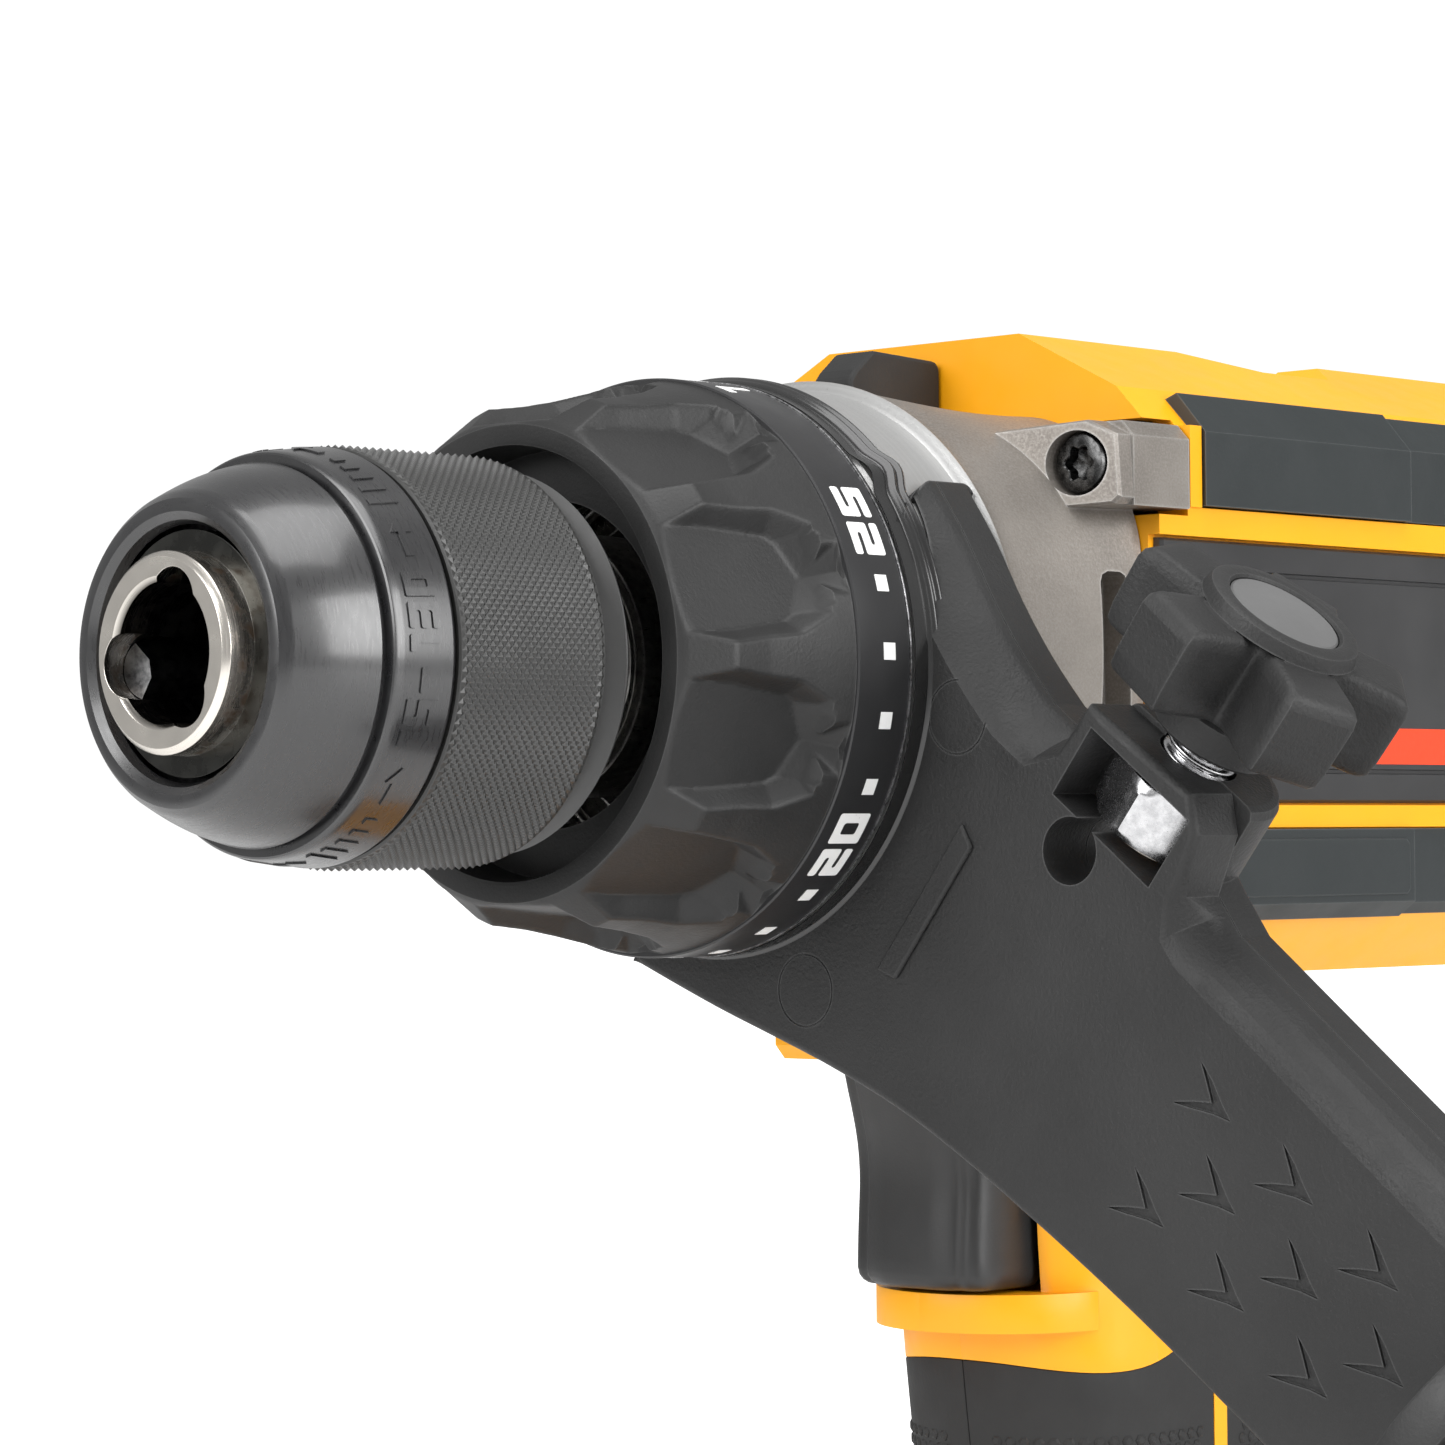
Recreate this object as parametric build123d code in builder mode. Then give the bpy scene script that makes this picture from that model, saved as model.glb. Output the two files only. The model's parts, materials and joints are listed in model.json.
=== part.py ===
from build123d import *
import os
from math import acos, cos, pi, radians, sin, tan

os.makedirs("parts", exist_ok=True)

# Cordless drill driver with a keyless chuck, torque collar and clamp-on side handle.
# +X points out of the chuck, +Y is the tool's left side, +Z is up.
# The origin is the centre of the battery's flat underside. All sizes are in millimetres.

# ---------------------------------------------------------------- driving dimensions
AXIS_Z = 212.0              # height of the spindle axis above the battery's underside
NOSE_X = 150.0              # chuck's front face, ahead of the battery's centre
FIT = 0.05                  # radial clearance of a running fit
GAP = 0.3                   # clearance between pieces that move past each other

# stations behind the chuck's front face
COLLAR_FRONT = 46.4
COLLAR_BACK = 75.6
NECK_FRONT = 76.2
NECK_BACK = 91.4
CASE_BACK = 113.0
HOUSING_BACK = 205.0
TOOL_BACK = 226.0

CHUCK_R = 21.5              # knurled sleeve
BIT_BORE_R = 7.0
NECK_R = 31.3

JAW_ANGLE = 20.0            # slope of a jaw's path against the spindle
JAW_R = 3.3
JAW_APEX = -14.0            # station where the three jaw paths would meet
JAW_TIP = 4.5
JAW_LENGTH = 26.0

# planetary gears: two equal stages
MODULE = 0.9
SUN_TEETH = 12
PLANET_TEETH = 18
RING_TEETH = 48
ORBIT_R = MODULE * (SUN_TEETH + PLANET_TEETH) / 2
PIN_R = 2.2
RING_OUTER_R = 25.4
OUTPUT_STAGE = 83.5         # station of the front face of each stage's gears
INPUT_STAGE = 99.0
GEAR_WIDTH = 8.0

# body section
BODY_SIDE = 32.8            # half width under the trim
TRIM_SIDE = 35.0            # half width over the raised trim
BODY_TOP = 38.5
BODY_BOTTOM = -34.5
SHELL = 2.6

# trigger and grip
GRIP_HALF_WIDTH = 17.0
FOOT_TOP = -150.0
BATTERY_TOP = -166.0
BATTERY_LENGTH = 130.0
BATTERY_WIDTH = 78.0
ORIGIN_S = NOSE_X           # station of the origin

# side handle
ARM_ANGLE = 38.0            # arm's direction below horizontal
ARM_FRONT = 78.0
ARM_SEAM = 85.0
ARM_BACK = 90.6
ARM_HALF = 17.0
GRIP_END = 214.0
STUD_U = 54.2
STUD_S = 86.0
ROD_HOLE_R = 3.5

SPINDLE = Axis((0, 0, AXIS_Z), (1, 0, 0))


# ---------------------------------------------------------------- planes
def station(s):
    """Cross-section plane at a station behind the nose: local x is +Y, local y is +Z."""
    return Plane(origin=(NOSE_X - s, 0, AXIS_Z), x_dir=(0, 1, 0), z_dir=(1, 0, 0))


def side_plane(y=0):
    """Upright plane along the tool: local x runs back from the nose, local y is height
    above the spindle axis, and the normal is +Y."""
    return Plane(origin=(NOSE_X, y, AXIS_Z), x_dir=(-1, 0, 0), z_dir=(0, 1, 0))


def level(z):
    """Horizontal plane at a height above the spindle axis: local x runs back from the
    nose, local y is -Y."""
    return Plane(origin=(NOSE_X, 0, AXIS_Z + z), x_dir=(-1, 0, 0), z_dir=(0, 0, 1))


def arm_plane(s):
    """Plane of the side handle's arm: local x runs out along the arm."""
    a = radians(ARM_ANGLE)
    return Plane(origin=(NOSE_X - s, 0, AXIS_Z), x_dir=(0, cos(a), -sin(a)), z_dir=(1, 0, 0))


def arm_axis_plane(u):
    """Plane across the arm at a distance u from the spindle, on the grip's axis."""
    a = radians(ARM_ANGLE)
    centre_s = (ARM_FRONT + ARM_BACK) / 2
    return Plane(
        origin=(NOSE_X - centre_s, u * cos(a), AXIS_Z - u * sin(a)),
        x_dir=(1, 0, 0),
        z_dir=(0, cos(a), -sin(a)),
    )


def stud_plane(v):
    """Plane across the depth clamp's stud, at a height v above the arm's middle line."""
    a = radians(ARM_ANGLE)
    return Plane(
        origin=(
            NOSE_X - STUD_S,
            STUD_U * cos(a) + v * sin(a),
            AXIS_Z - STUD_U * sin(a) + v * cos(a),
        ),
        x_dir=(1, 0, 0),
        z_dir=(0, sin(a), cos(a)),
    )


def jaw_plane(angle, distance):
    """Plane across a jaw's path, at a distance along it from the apex."""
    a = radians(JAW_ANGLE)
    t = radians(angle)
    direction = Vector(-cos(a), sin(a) * cos(t), sin(a) * sin(t))
    apex = Vector(NOSE_X - JAW_APEX, 0, AXIS_Z)
    return Plane(origin=apex + direction * distance, z_dir=direction)


def save(builder, name):
    builder.part.label = name
    export_step(builder.part, f"parts/{name}.step")


# ---------------------------------------------------------------- gear outlines
PRESSURE = radians(20)
ADDENDUM = 0.7 * MODULE
DEDENDUM = 1.0 * MODULE
BACKLASH = 0.14


def involute(angle):
    return tan(angle) - angle


def half_angle(teeth, radius, play):
    """Half of a tooth's angle, in radians, at a radius. A positive play thins the tooth."""
    pitch_r = MODULE * teeth / 2
    base_r = pitch_r * cos(PRESSURE)
    at_radius = acos(min(1.0, base_r / radius))
    return pi / (2 * teeth) + involute(PRESSURE) - involute(at_radius) - play / (2 * pitch_r)


def gear_outline(teeth, low_r, high_r, play, turn):
    """Closed outline of a gear, with straight steps along each involute flank."""
    flank = [low_r + (high_r - low_r) * k / 3 for k in range(4)]
    points = []
    for tooth in range(teeth):
        middle = 2 * pi * tooth / teeth + radians(turn)
        rising = [(r, middle - half_angle(teeth, r, play)) for r in flank]
        falling = [(r, middle + half_angle(teeth, r, play)) for r in reversed(flank)]
        points += [(r * cos(t), r * sin(t)) for r, t in rising + falling]
    return points


def external_outline(teeth, turn=0.0):
    pitch_r = MODULE * teeth / 2
    return gear_outline(teeth, pitch_r - DEDENDUM, pitch_r + ADDENDUM, BACKLASH, turn)


def internal_outline(teeth, turn=0.0):
    pitch_r = MODULE * teeth / 2
    return gear_outline(teeth, pitch_r - ADDENDUM, pitch_r + DEDENDUM, -BACKLASH, turn)


# ---------------------------------------------------------------- chuck
JAW_FACE = 6.95             # radius of an open jaw's gripping face
NUT_FRONT = 7.0
NUT_BACK = 12.6


def path_radius(s):
    """Distance of a jaw's middle line from the spindle axis at a station."""
    return (s - JAW_APEX) * tan(radians(JAW_ANGLE))


with BuildPart() as chuck_body:
    with BuildSketch(side_plane()):
        with BuildLine():
            Polyline(
                (0.5, BIT_BORE_R), (0, BIT_BORE_R + 0.5), (0, 9.4), (0.6, 10.0), (3.6, 10.0),
                (3.6, 12.2), (6.7, 12.2), (6.7, 10.4), (12.9, 10.4), (12.9, 16.8),
                (31.0, 16.8), (33.0, 15.0), (46.0, 15.0), (46.0, 6.4), (36.0, 6.4),
                (36.0, 3.1), (32.0, 3.1), (32.0, 5.2), (27.6, 5.2), (27.6, BIT_BORE_R), close=True,
            )
        make_face()
    revolve(axis=SPINDLE)
    for jaw_angle in (70, 190, 310):
        with BuildSketch(jaw_plane(jaw_angle, 0)):
            Circle(JAW_R + FIT)
        extrude(amount=60, mode=Mode.SUBTRACT)
save(chuck_body, "chuck_body")


def make_jaw(angle):
    """One jaw: a round slide on the sloping path, cut to a flat-nosed wedge in front."""
    start = (JAW_TIP - JAW_APEX) / cos(radians(JAW_ANGLE))
    t = radians(angle)
    wedge_plane = Plane(
        origin=(NOSE_X, 0, AXIS_Z), x_dir=(0, cos(t), sin(t)), z_dir=(1, 0, 0)
    )
    wedge_apex = JAW_FACE - 0.75
    far = 24.0
    spread = (far - wedge_apex) * tan(radians(57))
    with BuildPart() as jaw:
        with BuildSketch(jaw_plane(angle, start)):
            Circle(JAW_R)
        extrude(amount=JAW_LENGTH)
        with BuildSketch(wedge_plane):
            Polygon(
                (JAW_FACE, -0.9), (far, -spread), (far, spread), (JAW_FACE, 0.9), align=None
            )
        extrude(amount=-40, both=True, mode=Mode.INTERSECT)
    return jaw


chuck_jaw_1 = make_jaw(70)
save(chuck_jaw_1, "chuck_jaw_1")
chuck_jaw_2 = make_jaw(190)
save(chuck_jaw_2, "chuck_jaw_2")
chuck_jaw_3 = make_jaw(310)
save(chuck_jaw_3, "chuck_jaw_3")

NUT_CLEAR = JAW_R / cos(radians(JAW_ANGLE)) + 0.15

with BuildPart() as chuck_split_nut:
    with BuildSketch(side_plane()):
        with BuildLine():
            Polyline(
                (NUT_FRONT, path_radius(NUT_FRONT) + NUT_CLEAR), (NUT_FRONT, 14.6),
                (NUT_BACK, 16.0), (NUT_BACK, path_radius(NUT_BACK) + NUT_CLEAR), close=True,
            )
        make_face()
    revolve(axis=SPINDLE)
    with BuildSketch(side_plane()):
        with Locations((NUT_FRONT, 0)):
            Rectangle(30, 0.3)
    extrude(amount=40, both=True, mode=Mode.SUBTRACT)
save(chuck_split_nut, "chuck_split_nut")

with BuildPart() as chuck_nose_sleeve:
    with BuildSketch(side_plane()):
        with BuildLine():
            Polyline((3.6, 13.0), (2.0, 13.9))
            ThreePointArc((2.0, 13.9), (1.9, 15.0), (2.9, 15.9))
            ThreePointArc((2.9, 15.9), (7.2, 17.9), (12.0, 19.3))
            Polyline(
                (12.0, 19.3), (12.0, 18.9), (12.5, 18.9), (12.5, 20.3), (19.5, 21.2),
                (20.0, 20.6), (20.0, 19.2), (13.4, 18.0), (13.0, 17.2), (8.0, 15.6),
                (3.6, 13.0),
            )
        make_face()
    revolve(axis=SPINDLE)
save(chuck_nose_sleeve, "chuck_nose_sleeve")

with BuildPart() as chuck_grip_sleeve:
    with BuildSketch(side_plane()):
        with BuildLine():
            Polyline(
                (20.3, 20.9), (20.9, CHUCK_R), (39.7, CHUCK_R), (40.3, 20.9), (40.3, 19.3),
                (20.3, 19.3), close=True,
            )
        make_face()
    revolve(axis=SPINDLE)
save(chuck_grip_sleeve, "chuck_grip_sleeve")

with BuildPart() as chuck_rear_ring:
    with BuildSketch(side_plane()):
        with BuildLine():
            Polyline(
                (33.4, 15.0), (45.2, 15.0), (45.2, 19.2), (44.6, 19.9), (40.6, 20.1),
                (40.6, 18.9), (33.4, 18.9), close=True,
            )
        make_face()
    revolve(axis=SPINDLE)
save(chuck_rear_ring, "chuck_rear_ring")

with BuildPart() as chuck_screw:
    with BuildSketch(station(28.0)):
        Circle(5.0)
    extrude(amount=-4.0)
    with BuildSketch(station(32.0)):
        Circle(2.9)
    extrude(amount=-20.0)
    with BuildSketch(station(28.0)):
        RegularPolygon(radius=2.9, side_count=6)
    extrude(amount=-2.4, mode=Mode.SUBTRACT)
save(chuck_screw, "chuck_screw")

# ---------------------------------------------------------------- spindle and gear train
CARRIER_FRONT = 78.4
CARRIER_BACK = 82.6

with BuildPart() as spindle:
    with BuildSketch(side_plane()):
        with BuildLine():
            Polyline(
                (36.4, 2.9), (36.4, 6.35), (46.2, 6.35), (46.2, 8.5), (74.0, 8.5),
                (74.0, 11.0), (CARRIER_FRONT, 11.0), (CARRIER_FRONT, 17.6),
                (CARRIER_BACK, 17.6), (CARRIER_BACK, 0), (54.0, 0), (54.0, 2.9), close=True,
            )
        make_face()
    revolve(axis=SPINDLE)
    with BuildSketch(station(CARRIER_BACK)):
        with PolarLocations(ORBIT_R, 3):
            Circle(PIN_R)
    extrude(amount=-(OUTPUT_STAGE + GEAR_WIDTH - CARRIER_BACK))
save(spindle, "spindle")

with BuildPart() as spindle_bearing:
    with BuildSketch(side_plane()):
        with BuildLine():
            Polyline(
                (53.0, 8.5), (53.0, 10.6), (54.0, 11.0), (54.0, 12.0), (53.0, 12.4),
                (53.0, 14.0), (61.0, 14.0), (61.0, 12.4), (60.0, 12.0), (60.0, 11.0),
                (61.0, 10.6), (61.0, 8.5), close=True,
            )
        make_face()
    revolve(axis=SPINDLE)
save(spindle_bearing, "spindle_bearing")


def make_ring_gear(front, width):
    with BuildPart() as ring_gear:
        with BuildSketch(station(front)):
            Circle(RING_OUTER_R)
            Polygon(
                *internal_outline(RING_TEETH, 180 / RING_TEETH), align=None,
                mode=Mode.SUBTRACT,
            )
        extrude(amount=-width)
    return ring_gear


def make_planet(front, angle):
    """A planet at an angle round the spindle, with a tooth gap facing the sun."""
    t = radians(angle)
    planet_plane = Plane(
        origin=(NOSE_X - front, ORBIT_R * cos(t), AXIS_Z + ORBIT_R * sin(t)),
        x_dir=(0, cos(t), sin(t)),
        z_dir=(1, 0, 0),
    )
    with BuildPart() as planet:
        with BuildSketch(planet_plane):
            Polygon(*external_outline(PLANET_TEETH, 180 / PLANET_TEETH), align=None)
            Circle(PIN_R + FIT, mode=Mode.SUBTRACT)
        extrude(amount=-(GEAR_WIDTH - 0.6))
    return planet


output_ring_gear = make_ring_gear(OUTPUT_STAGE - 0.3, GEAR_WIDTH + 0.8)
save(output_ring_gear, "output_ring_gear")
input_ring_gear = make_ring_gear(INPUT_STAGE - 0.3, GEAR_WIDTH + 0.8)
save(input_ring_gear, "input_ring_gear")

output_planet_1 = make_planet(OUTPUT_STAGE, 0)
save(output_planet_1, "output_planet_1")
output_planet_2 = make_planet(OUTPUT_STAGE, 120)
save(output_planet_2, "output_planet_2")
output_planet_3 = make_planet(OUTPUT_STAGE, 240)
save(output_planet_3, "output_planet_3")
input_planet_1 = make_planet(INPUT_STAGE, 0)
save(input_planet_1, "input_planet_1")
input_planet_2 = make_planet(INPUT_STAGE, 120)
save(input_planet_2, "input_planet_2")
input_planet_3 = make_planet(INPUT_STAGE, 240)
save(input_planet_3, "input_planet_3")

with BuildPart() as input_carrier:
    with BuildSketch(station(95.0)):
        Circle(17.6)
    extrude(amount=-3.2)
    with BuildSketch(station(98.2)):
        with PolarLocations(ORBIT_R, 3):
            Circle(PIN_R)
    extrude(amount=-(INPUT_STAGE + GEAR_WIDTH - 98.2))
    with BuildSketch(station(OUTPUT_STAGE)):
        Polygon(*external_outline(SUN_TEETH), align=None)
    extrude(amount=-(95.0 - OUTPUT_STAGE))
save(input_carrier, "input_carrier")

# ---------------------------------------------------------------- motor
SHAFT_R = 2.5
STATOR_FRONT = 136.0
STATOR_BACK = 172.0

with BuildPart() as motor_rotor:
    with BuildSketch(station(INPUT_STAGE)):
        Polygon(*external_outline(SUN_TEETH), align=None)
    extrude(amount=-9.0)
    with BuildSketch(station(108.0)):
        Circle(SHAFT_R)
    extrude(amount=-82.0)
    with BuildSketch(station(STATOR_FRONT + 1)):
        Circle(12.5)
    extrude(amount=-(STATOR_BACK - STATOR_FRONT - 2))
save(motor_rotor, "motor_rotor")

with BuildPart() as motor_stator:
    with BuildSketch(station(STATOR_FRONT)):
        Circle(25.5)
        Circle(13.0, mode=Mode.SUBTRACT)
        with PolarLocations(18.2, 6):
            RectangleRounded(6.0, 7.0, 1.5, mode=Mode.SUBTRACT)
    extrude(amount=-(STATOR_BACK - STATOR_FRONT))
save(motor_stator, "motor_stator")

with BuildPart() as motor_fan:
    with BuildSketch(station(122.0)):
        Circle(22.0)
        Circle(SHAFT_R, mode=Mode.SUBTRACT)
    extrude(amount=-1.6)
    with BuildSketch(station(123.6)):
        Circle(6.0)
        Circle(SHAFT_R, mode=Mode.SUBTRACT)
    extrude(amount=-8.0)
    with BuildSketch(station(123.6)):
        with PolarLocations(14.5, 11):
            Rectangle(14.0, 1.2)
    extrude(amount=-8.0)
save(motor_fan, "motor_fan")

with BuildPart() as motor_bearings:
    for bearing_front in (113.6, 180.0):
        with BuildSketch(station(bearing_front)):
            Circle(8.0)
            Circle(SHAFT_R + FIT, mode=Mode.SUBTRACT)
        extrude(amount=-5.0)
save(motor_bearings, "motor_bearings")

# ---------------------------------------------------------------- torque collar and clutch
POCKETS = 10

with BuildPart() as pocket_cutter:
    # one finger pocket: its floor rises to the rear, and its walls slope outwards
    floor_plane = Plane(
        origin=(NOSE_X - COLLAR_FRONT + 0.6, 25.2, AXIS_Z),
        x_dir=(-cos(radians(6)), sin(radians(6)), 0),
        z_dir=(sin(radians(6)), cos(radians(6)), 0),
    )
    with BuildSketch(floor_plane):
        with BuildLine():
            Polyline(
                (0, -5.9), (7.0, -5.6), (15.0, -4.6), (18.6, -2.4), (18.6, 2.4), (15.0, 4.6),
                (7.0, 5.6), (0, 5.9), close=True,
            )
        make_face()
    extrude(amount=7, taper=-26)

with BuildPart() as torque_collar:
    with BuildSketch(side_plane()):
        with BuildLine():
            Polyline(
                (COLLAR_FRONT, 22.9), (COLLAR_FRONT, 25.2), (46.9, 25.7), (51.5, 28.6),
                (56.0, 29.0), (62.0, 30.0), (66.4, 30.8), (67.0, 31.3), (75.1, 31.4),
                (COLLAR_BACK, 31.0), (COLLAR_BACK, 27.6), (55.0, 25.2), (55.0, 17.0 + GAP),
                (52.6, 17.0 + GAP), (52.6, 22.6), (47.4, 22.6), close=True,
            )
        make_face()
    revolve(axis=SPINDLE)
    for pocket in range(POCKETS):
        turn = 18 + pocket * 360 / POCKETS
        add(pocket_cutter.part.rotate(SPINDLE, turn), mode=Mode.SUBTRACT)
save(torque_collar, "torque_collar")

with BuildPart() as clutch_nut:
    with BuildSketch(station(56.4)):
        Circle(24.6)
        Circle(17.0 + GAP, mode=Mode.SUBTRACT)
    extrude(amount=-4.0)
save(clutch_nut, "clutch_nut")

with BuildPart() as clutch_spring:
    # flat-ended stack of spring turns, joined by a thin inner seam
    for turn in range(4):
        with BuildSketch(side_plane()):
            with Locations((62.0 + turn * 2.6, 20.6)):
                Circle(0.9)
        revolve(axis=SPINDLE)
    with BuildSketch(side_plane()):
        with Locations((62.0 + 1.5 * 2.6, 20.6)):
            Rectangle(3 * 2.6, 0.5)
    revolve(axis=SPINDLE, revolution_arc=8)
save(clutch_spring, "clutch_spring")

with BuildPart() as clutch_plate:
    with BuildSketch(station(71.0)):
        Circle(23.6)
        Circle(17.0 + GAP, mode=Mode.SUBTRACT)
    extrude(amount=-1.8)
    with BuildSketch(station(72.8)):
        with PolarLocations(20.8, 6):
            Circle(1.6)
    extrude(amount=-9.6)
save(clutch_plate, "clutch_plate")

# ---------------------------------------------------------------- gear case
BOSS_Y = 30.0
BOSS_Z = 22.3
LOWER_BOSS_Z = -24.0
BOSS_FACE = 103.0

with BuildPart() as gear_case:
    with BuildSketch(side_plane()):
        with BuildLine():
            Polyline(
                (52.0, 14.0), (52.0, 17.0), (NECK_FRONT, 17.0), (NECK_FRONT, NECK_R - 0.4),
                (NECK_FRONT + 0.4, NECK_R), (90.8, NECK_R), (90.8, NECK_R + 1.0),
                (NECK_BACK, NECK_R + 1.3), (NECK_BACK, 25.4),
                (82.6, 25.4), (82.6, 18.4), (77.6, 18.4), (77.6, 11.6), (61.2, 11.6),
                (61.2, 14.0), close=True,
            )
        make_face()
    revolve(axis=SPINDLE)
    # flared casting behind the neck
    with BuildSketch(station(NECK_BACK)):
        Circle(NECK_R + 1.3)
    with BuildSketch(station(CASE_BACK)):
        RectangleRounded(64.0, 58.0, 18.0)
    loft()
    for boss_y, boss_z in (
        (BOSS_Y, BOSS_Z), (-BOSS_Y, BOSS_Z), (BOSS_Y, LOWER_BOSS_Z), (-BOSS_Y, LOWER_BOSS_Z)
    ):
        with BuildSketch(station(BOSS_FACE)):
            with Locations((boss_y, boss_z)):
                RectangleRounded(10.0, 10.4, 2.0)
        extrude(amount=-15.0)
    # room for the gears
    with BuildSketch(station(82.6)):
        Circle(RING_OUTER_R)
    extrude(amount=-(110.4 - 82.6), mode=Mode.SUBTRACT)
    # seat of the motor's front bearing and the shaft's way through
    with BuildSketch(station(110.0)):
        Circle(8.0)
    extrude(amount=-10.0, mode=Mode.SUBTRACT)
    # holes of the clutch pins
    with BuildSketch(station(70.0)):
        with PolarLocations(20.8, 6):
            Circle(1.6 + 2 * FIT)
    extrude(amount=-14.0, mode=Mode.SUBTRACT)
    # counterbored screw holes
    for boss_y, boss_z in (
        (BOSS_Y, BOSS_Z), (-BOSS_Y, BOSS_Z), (BOSS_Y, LOWER_BOSS_Z), (-BOSS_Y, LOWER_BOSS_Z)
    ):
        with BuildSketch(station(90.0)):
            with Locations((boss_y, boss_z)):
                Circle(3.8)
        extrude(amount=-18.0, mode=Mode.SUBTRACT)
        with BuildSketch(station(100.0)):
            with Locations((boss_y, boss_z)):
                Circle(2.0)
        extrude(amount=-20.0, mode=Mode.SUBTRACT)
save(gear_case, "gear_case")

with BuildPart() as gear_case_screws:
    for boss_y, boss_z in (
        (BOSS_Y, BOSS_Z), (-BOSS_Y, BOSS_Z), (BOSS_Y, LOWER_BOSS_Z), (-BOSS_Y, LOWER_BOSS_Z)
    ):
        with BuildSketch(station(104.6)):
            with Locations((boss_y, boss_z)):
                Circle(3.5)
        extrude(amount=-3.4)
        with BuildSketch(station(108.0)):
            with Locations((boss_y, boss_z)):
                Circle(1.9)
        extrude(amount=-9.6)
        with BuildSketch(station(104.6)):
            with Locations((boss_y, boss_z)):
                RegularPolygon(radius=1.9, side_count=6)
        extrude(amount=-1.8, mode=Mode.SUBTRACT)
save(gear_case_screws, "gear_case_screws")

# ---------------------------------------------------------------- housing
BELLY_FRONT = 98.0
BELLY_HALF = 10.0
VALLEY_Z = 36.6             # floor of the valley on top of the body
SELECTOR_S = 157.0
SELECTOR_TRAVEL = 8.0
GUARD_Z = -70.6             # underside of the trigger's opening
CORE_INSET = 1.6            # depth of the rubber grip
STRIPE_S = 145.0            # middle of the bare stripe down the grip's side


def body_outline(inset=0.0):
    """Half cross-section of the body, on the +Y side, as seen along the spindle."""
    top = BODY_TOP - 1.6 * inset
    bottom = BODY_BOTTOM + inset
    side = BODY_SIDE - inset
    return [
        (0, bottom), (25.0 - inset, bottom), (side, -27.0), (side, 27.0), (28.5 - inset, 31.5),
        (14.5, top), (0, top),
    ]


def grip_section(z, inset=0.0):
    """Station of the middle, half depth and half width of the grip at a height."""
    drop = -z
    if drop < 100:
        middle, half_depth = 142.5, 24.0
    elif drop < 140:
        middle, half_depth = 146.0, 22.5
    else:
        middle, half_depth = 148.5, 24.0
    return middle, half_depth - inset, GRIP_HALF_WIDTH - inset


def make_grip(inset):
    """Grip from the body's underside to the foot, as a loft of rounded sections."""
    with BuildPart() as grip:
        for z in (-30.0, -80.0, -118.0, FOOT_TOP - 4):
            middle, half_depth, half_width = grip_section(z, inset)
            with BuildSketch(level(z)):
                with Locations((middle, 0)):
                    RectangleRounded(2 * half_depth, 2 * half_width, half_width - 2.0)
        loft()
    return grip


grip_outer = make_grip(0.0)
grip_core = make_grip(CORE_INSET)

with BuildPart() as grip_overmould_left:
    add(grip_outer.part)
    add(grip_core.part, mode=Mode.SUBTRACT)
    with BuildSketch(side_plane(0)):
        with BuildLine():
            Line((100, -76.0), (112, -76.0))
            ThreePointArc((112, -76.0), (126, -80.0), (STRIPE_S - 1.2, -74.0))
            Polyline(
                (STRIPE_S - 1.2, -74.0), (STRIPE_S - 1.2, FOOT_TOP + 0.2),
                (100, FOOT_TOP + 0.2), (100, -76.0),
            )
        make_face()
        Polygon(
            (STRIPE_S + 1.2, FOOT_TOP + 0.2), (STRIPE_S + 1.2, -78.0), (158.0, -44.0),
            (180.0, -40.0), (180.0, FOOT_TOP + 0.2), align=None,
        )
    extrude(amount=30, mode=Mode.INTERSECT)

# housing screws go in from the right side: station, height, half width there, head depth
HOUSING_SCREWS = (
    (197.0, 23.0, 32.8), (197.0, -23.0, 32.8), (112.0, -156.5, 31.6), (190.0, -156.5, 31.6),
    (131.0, -75.6, 16.6),
)

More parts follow.
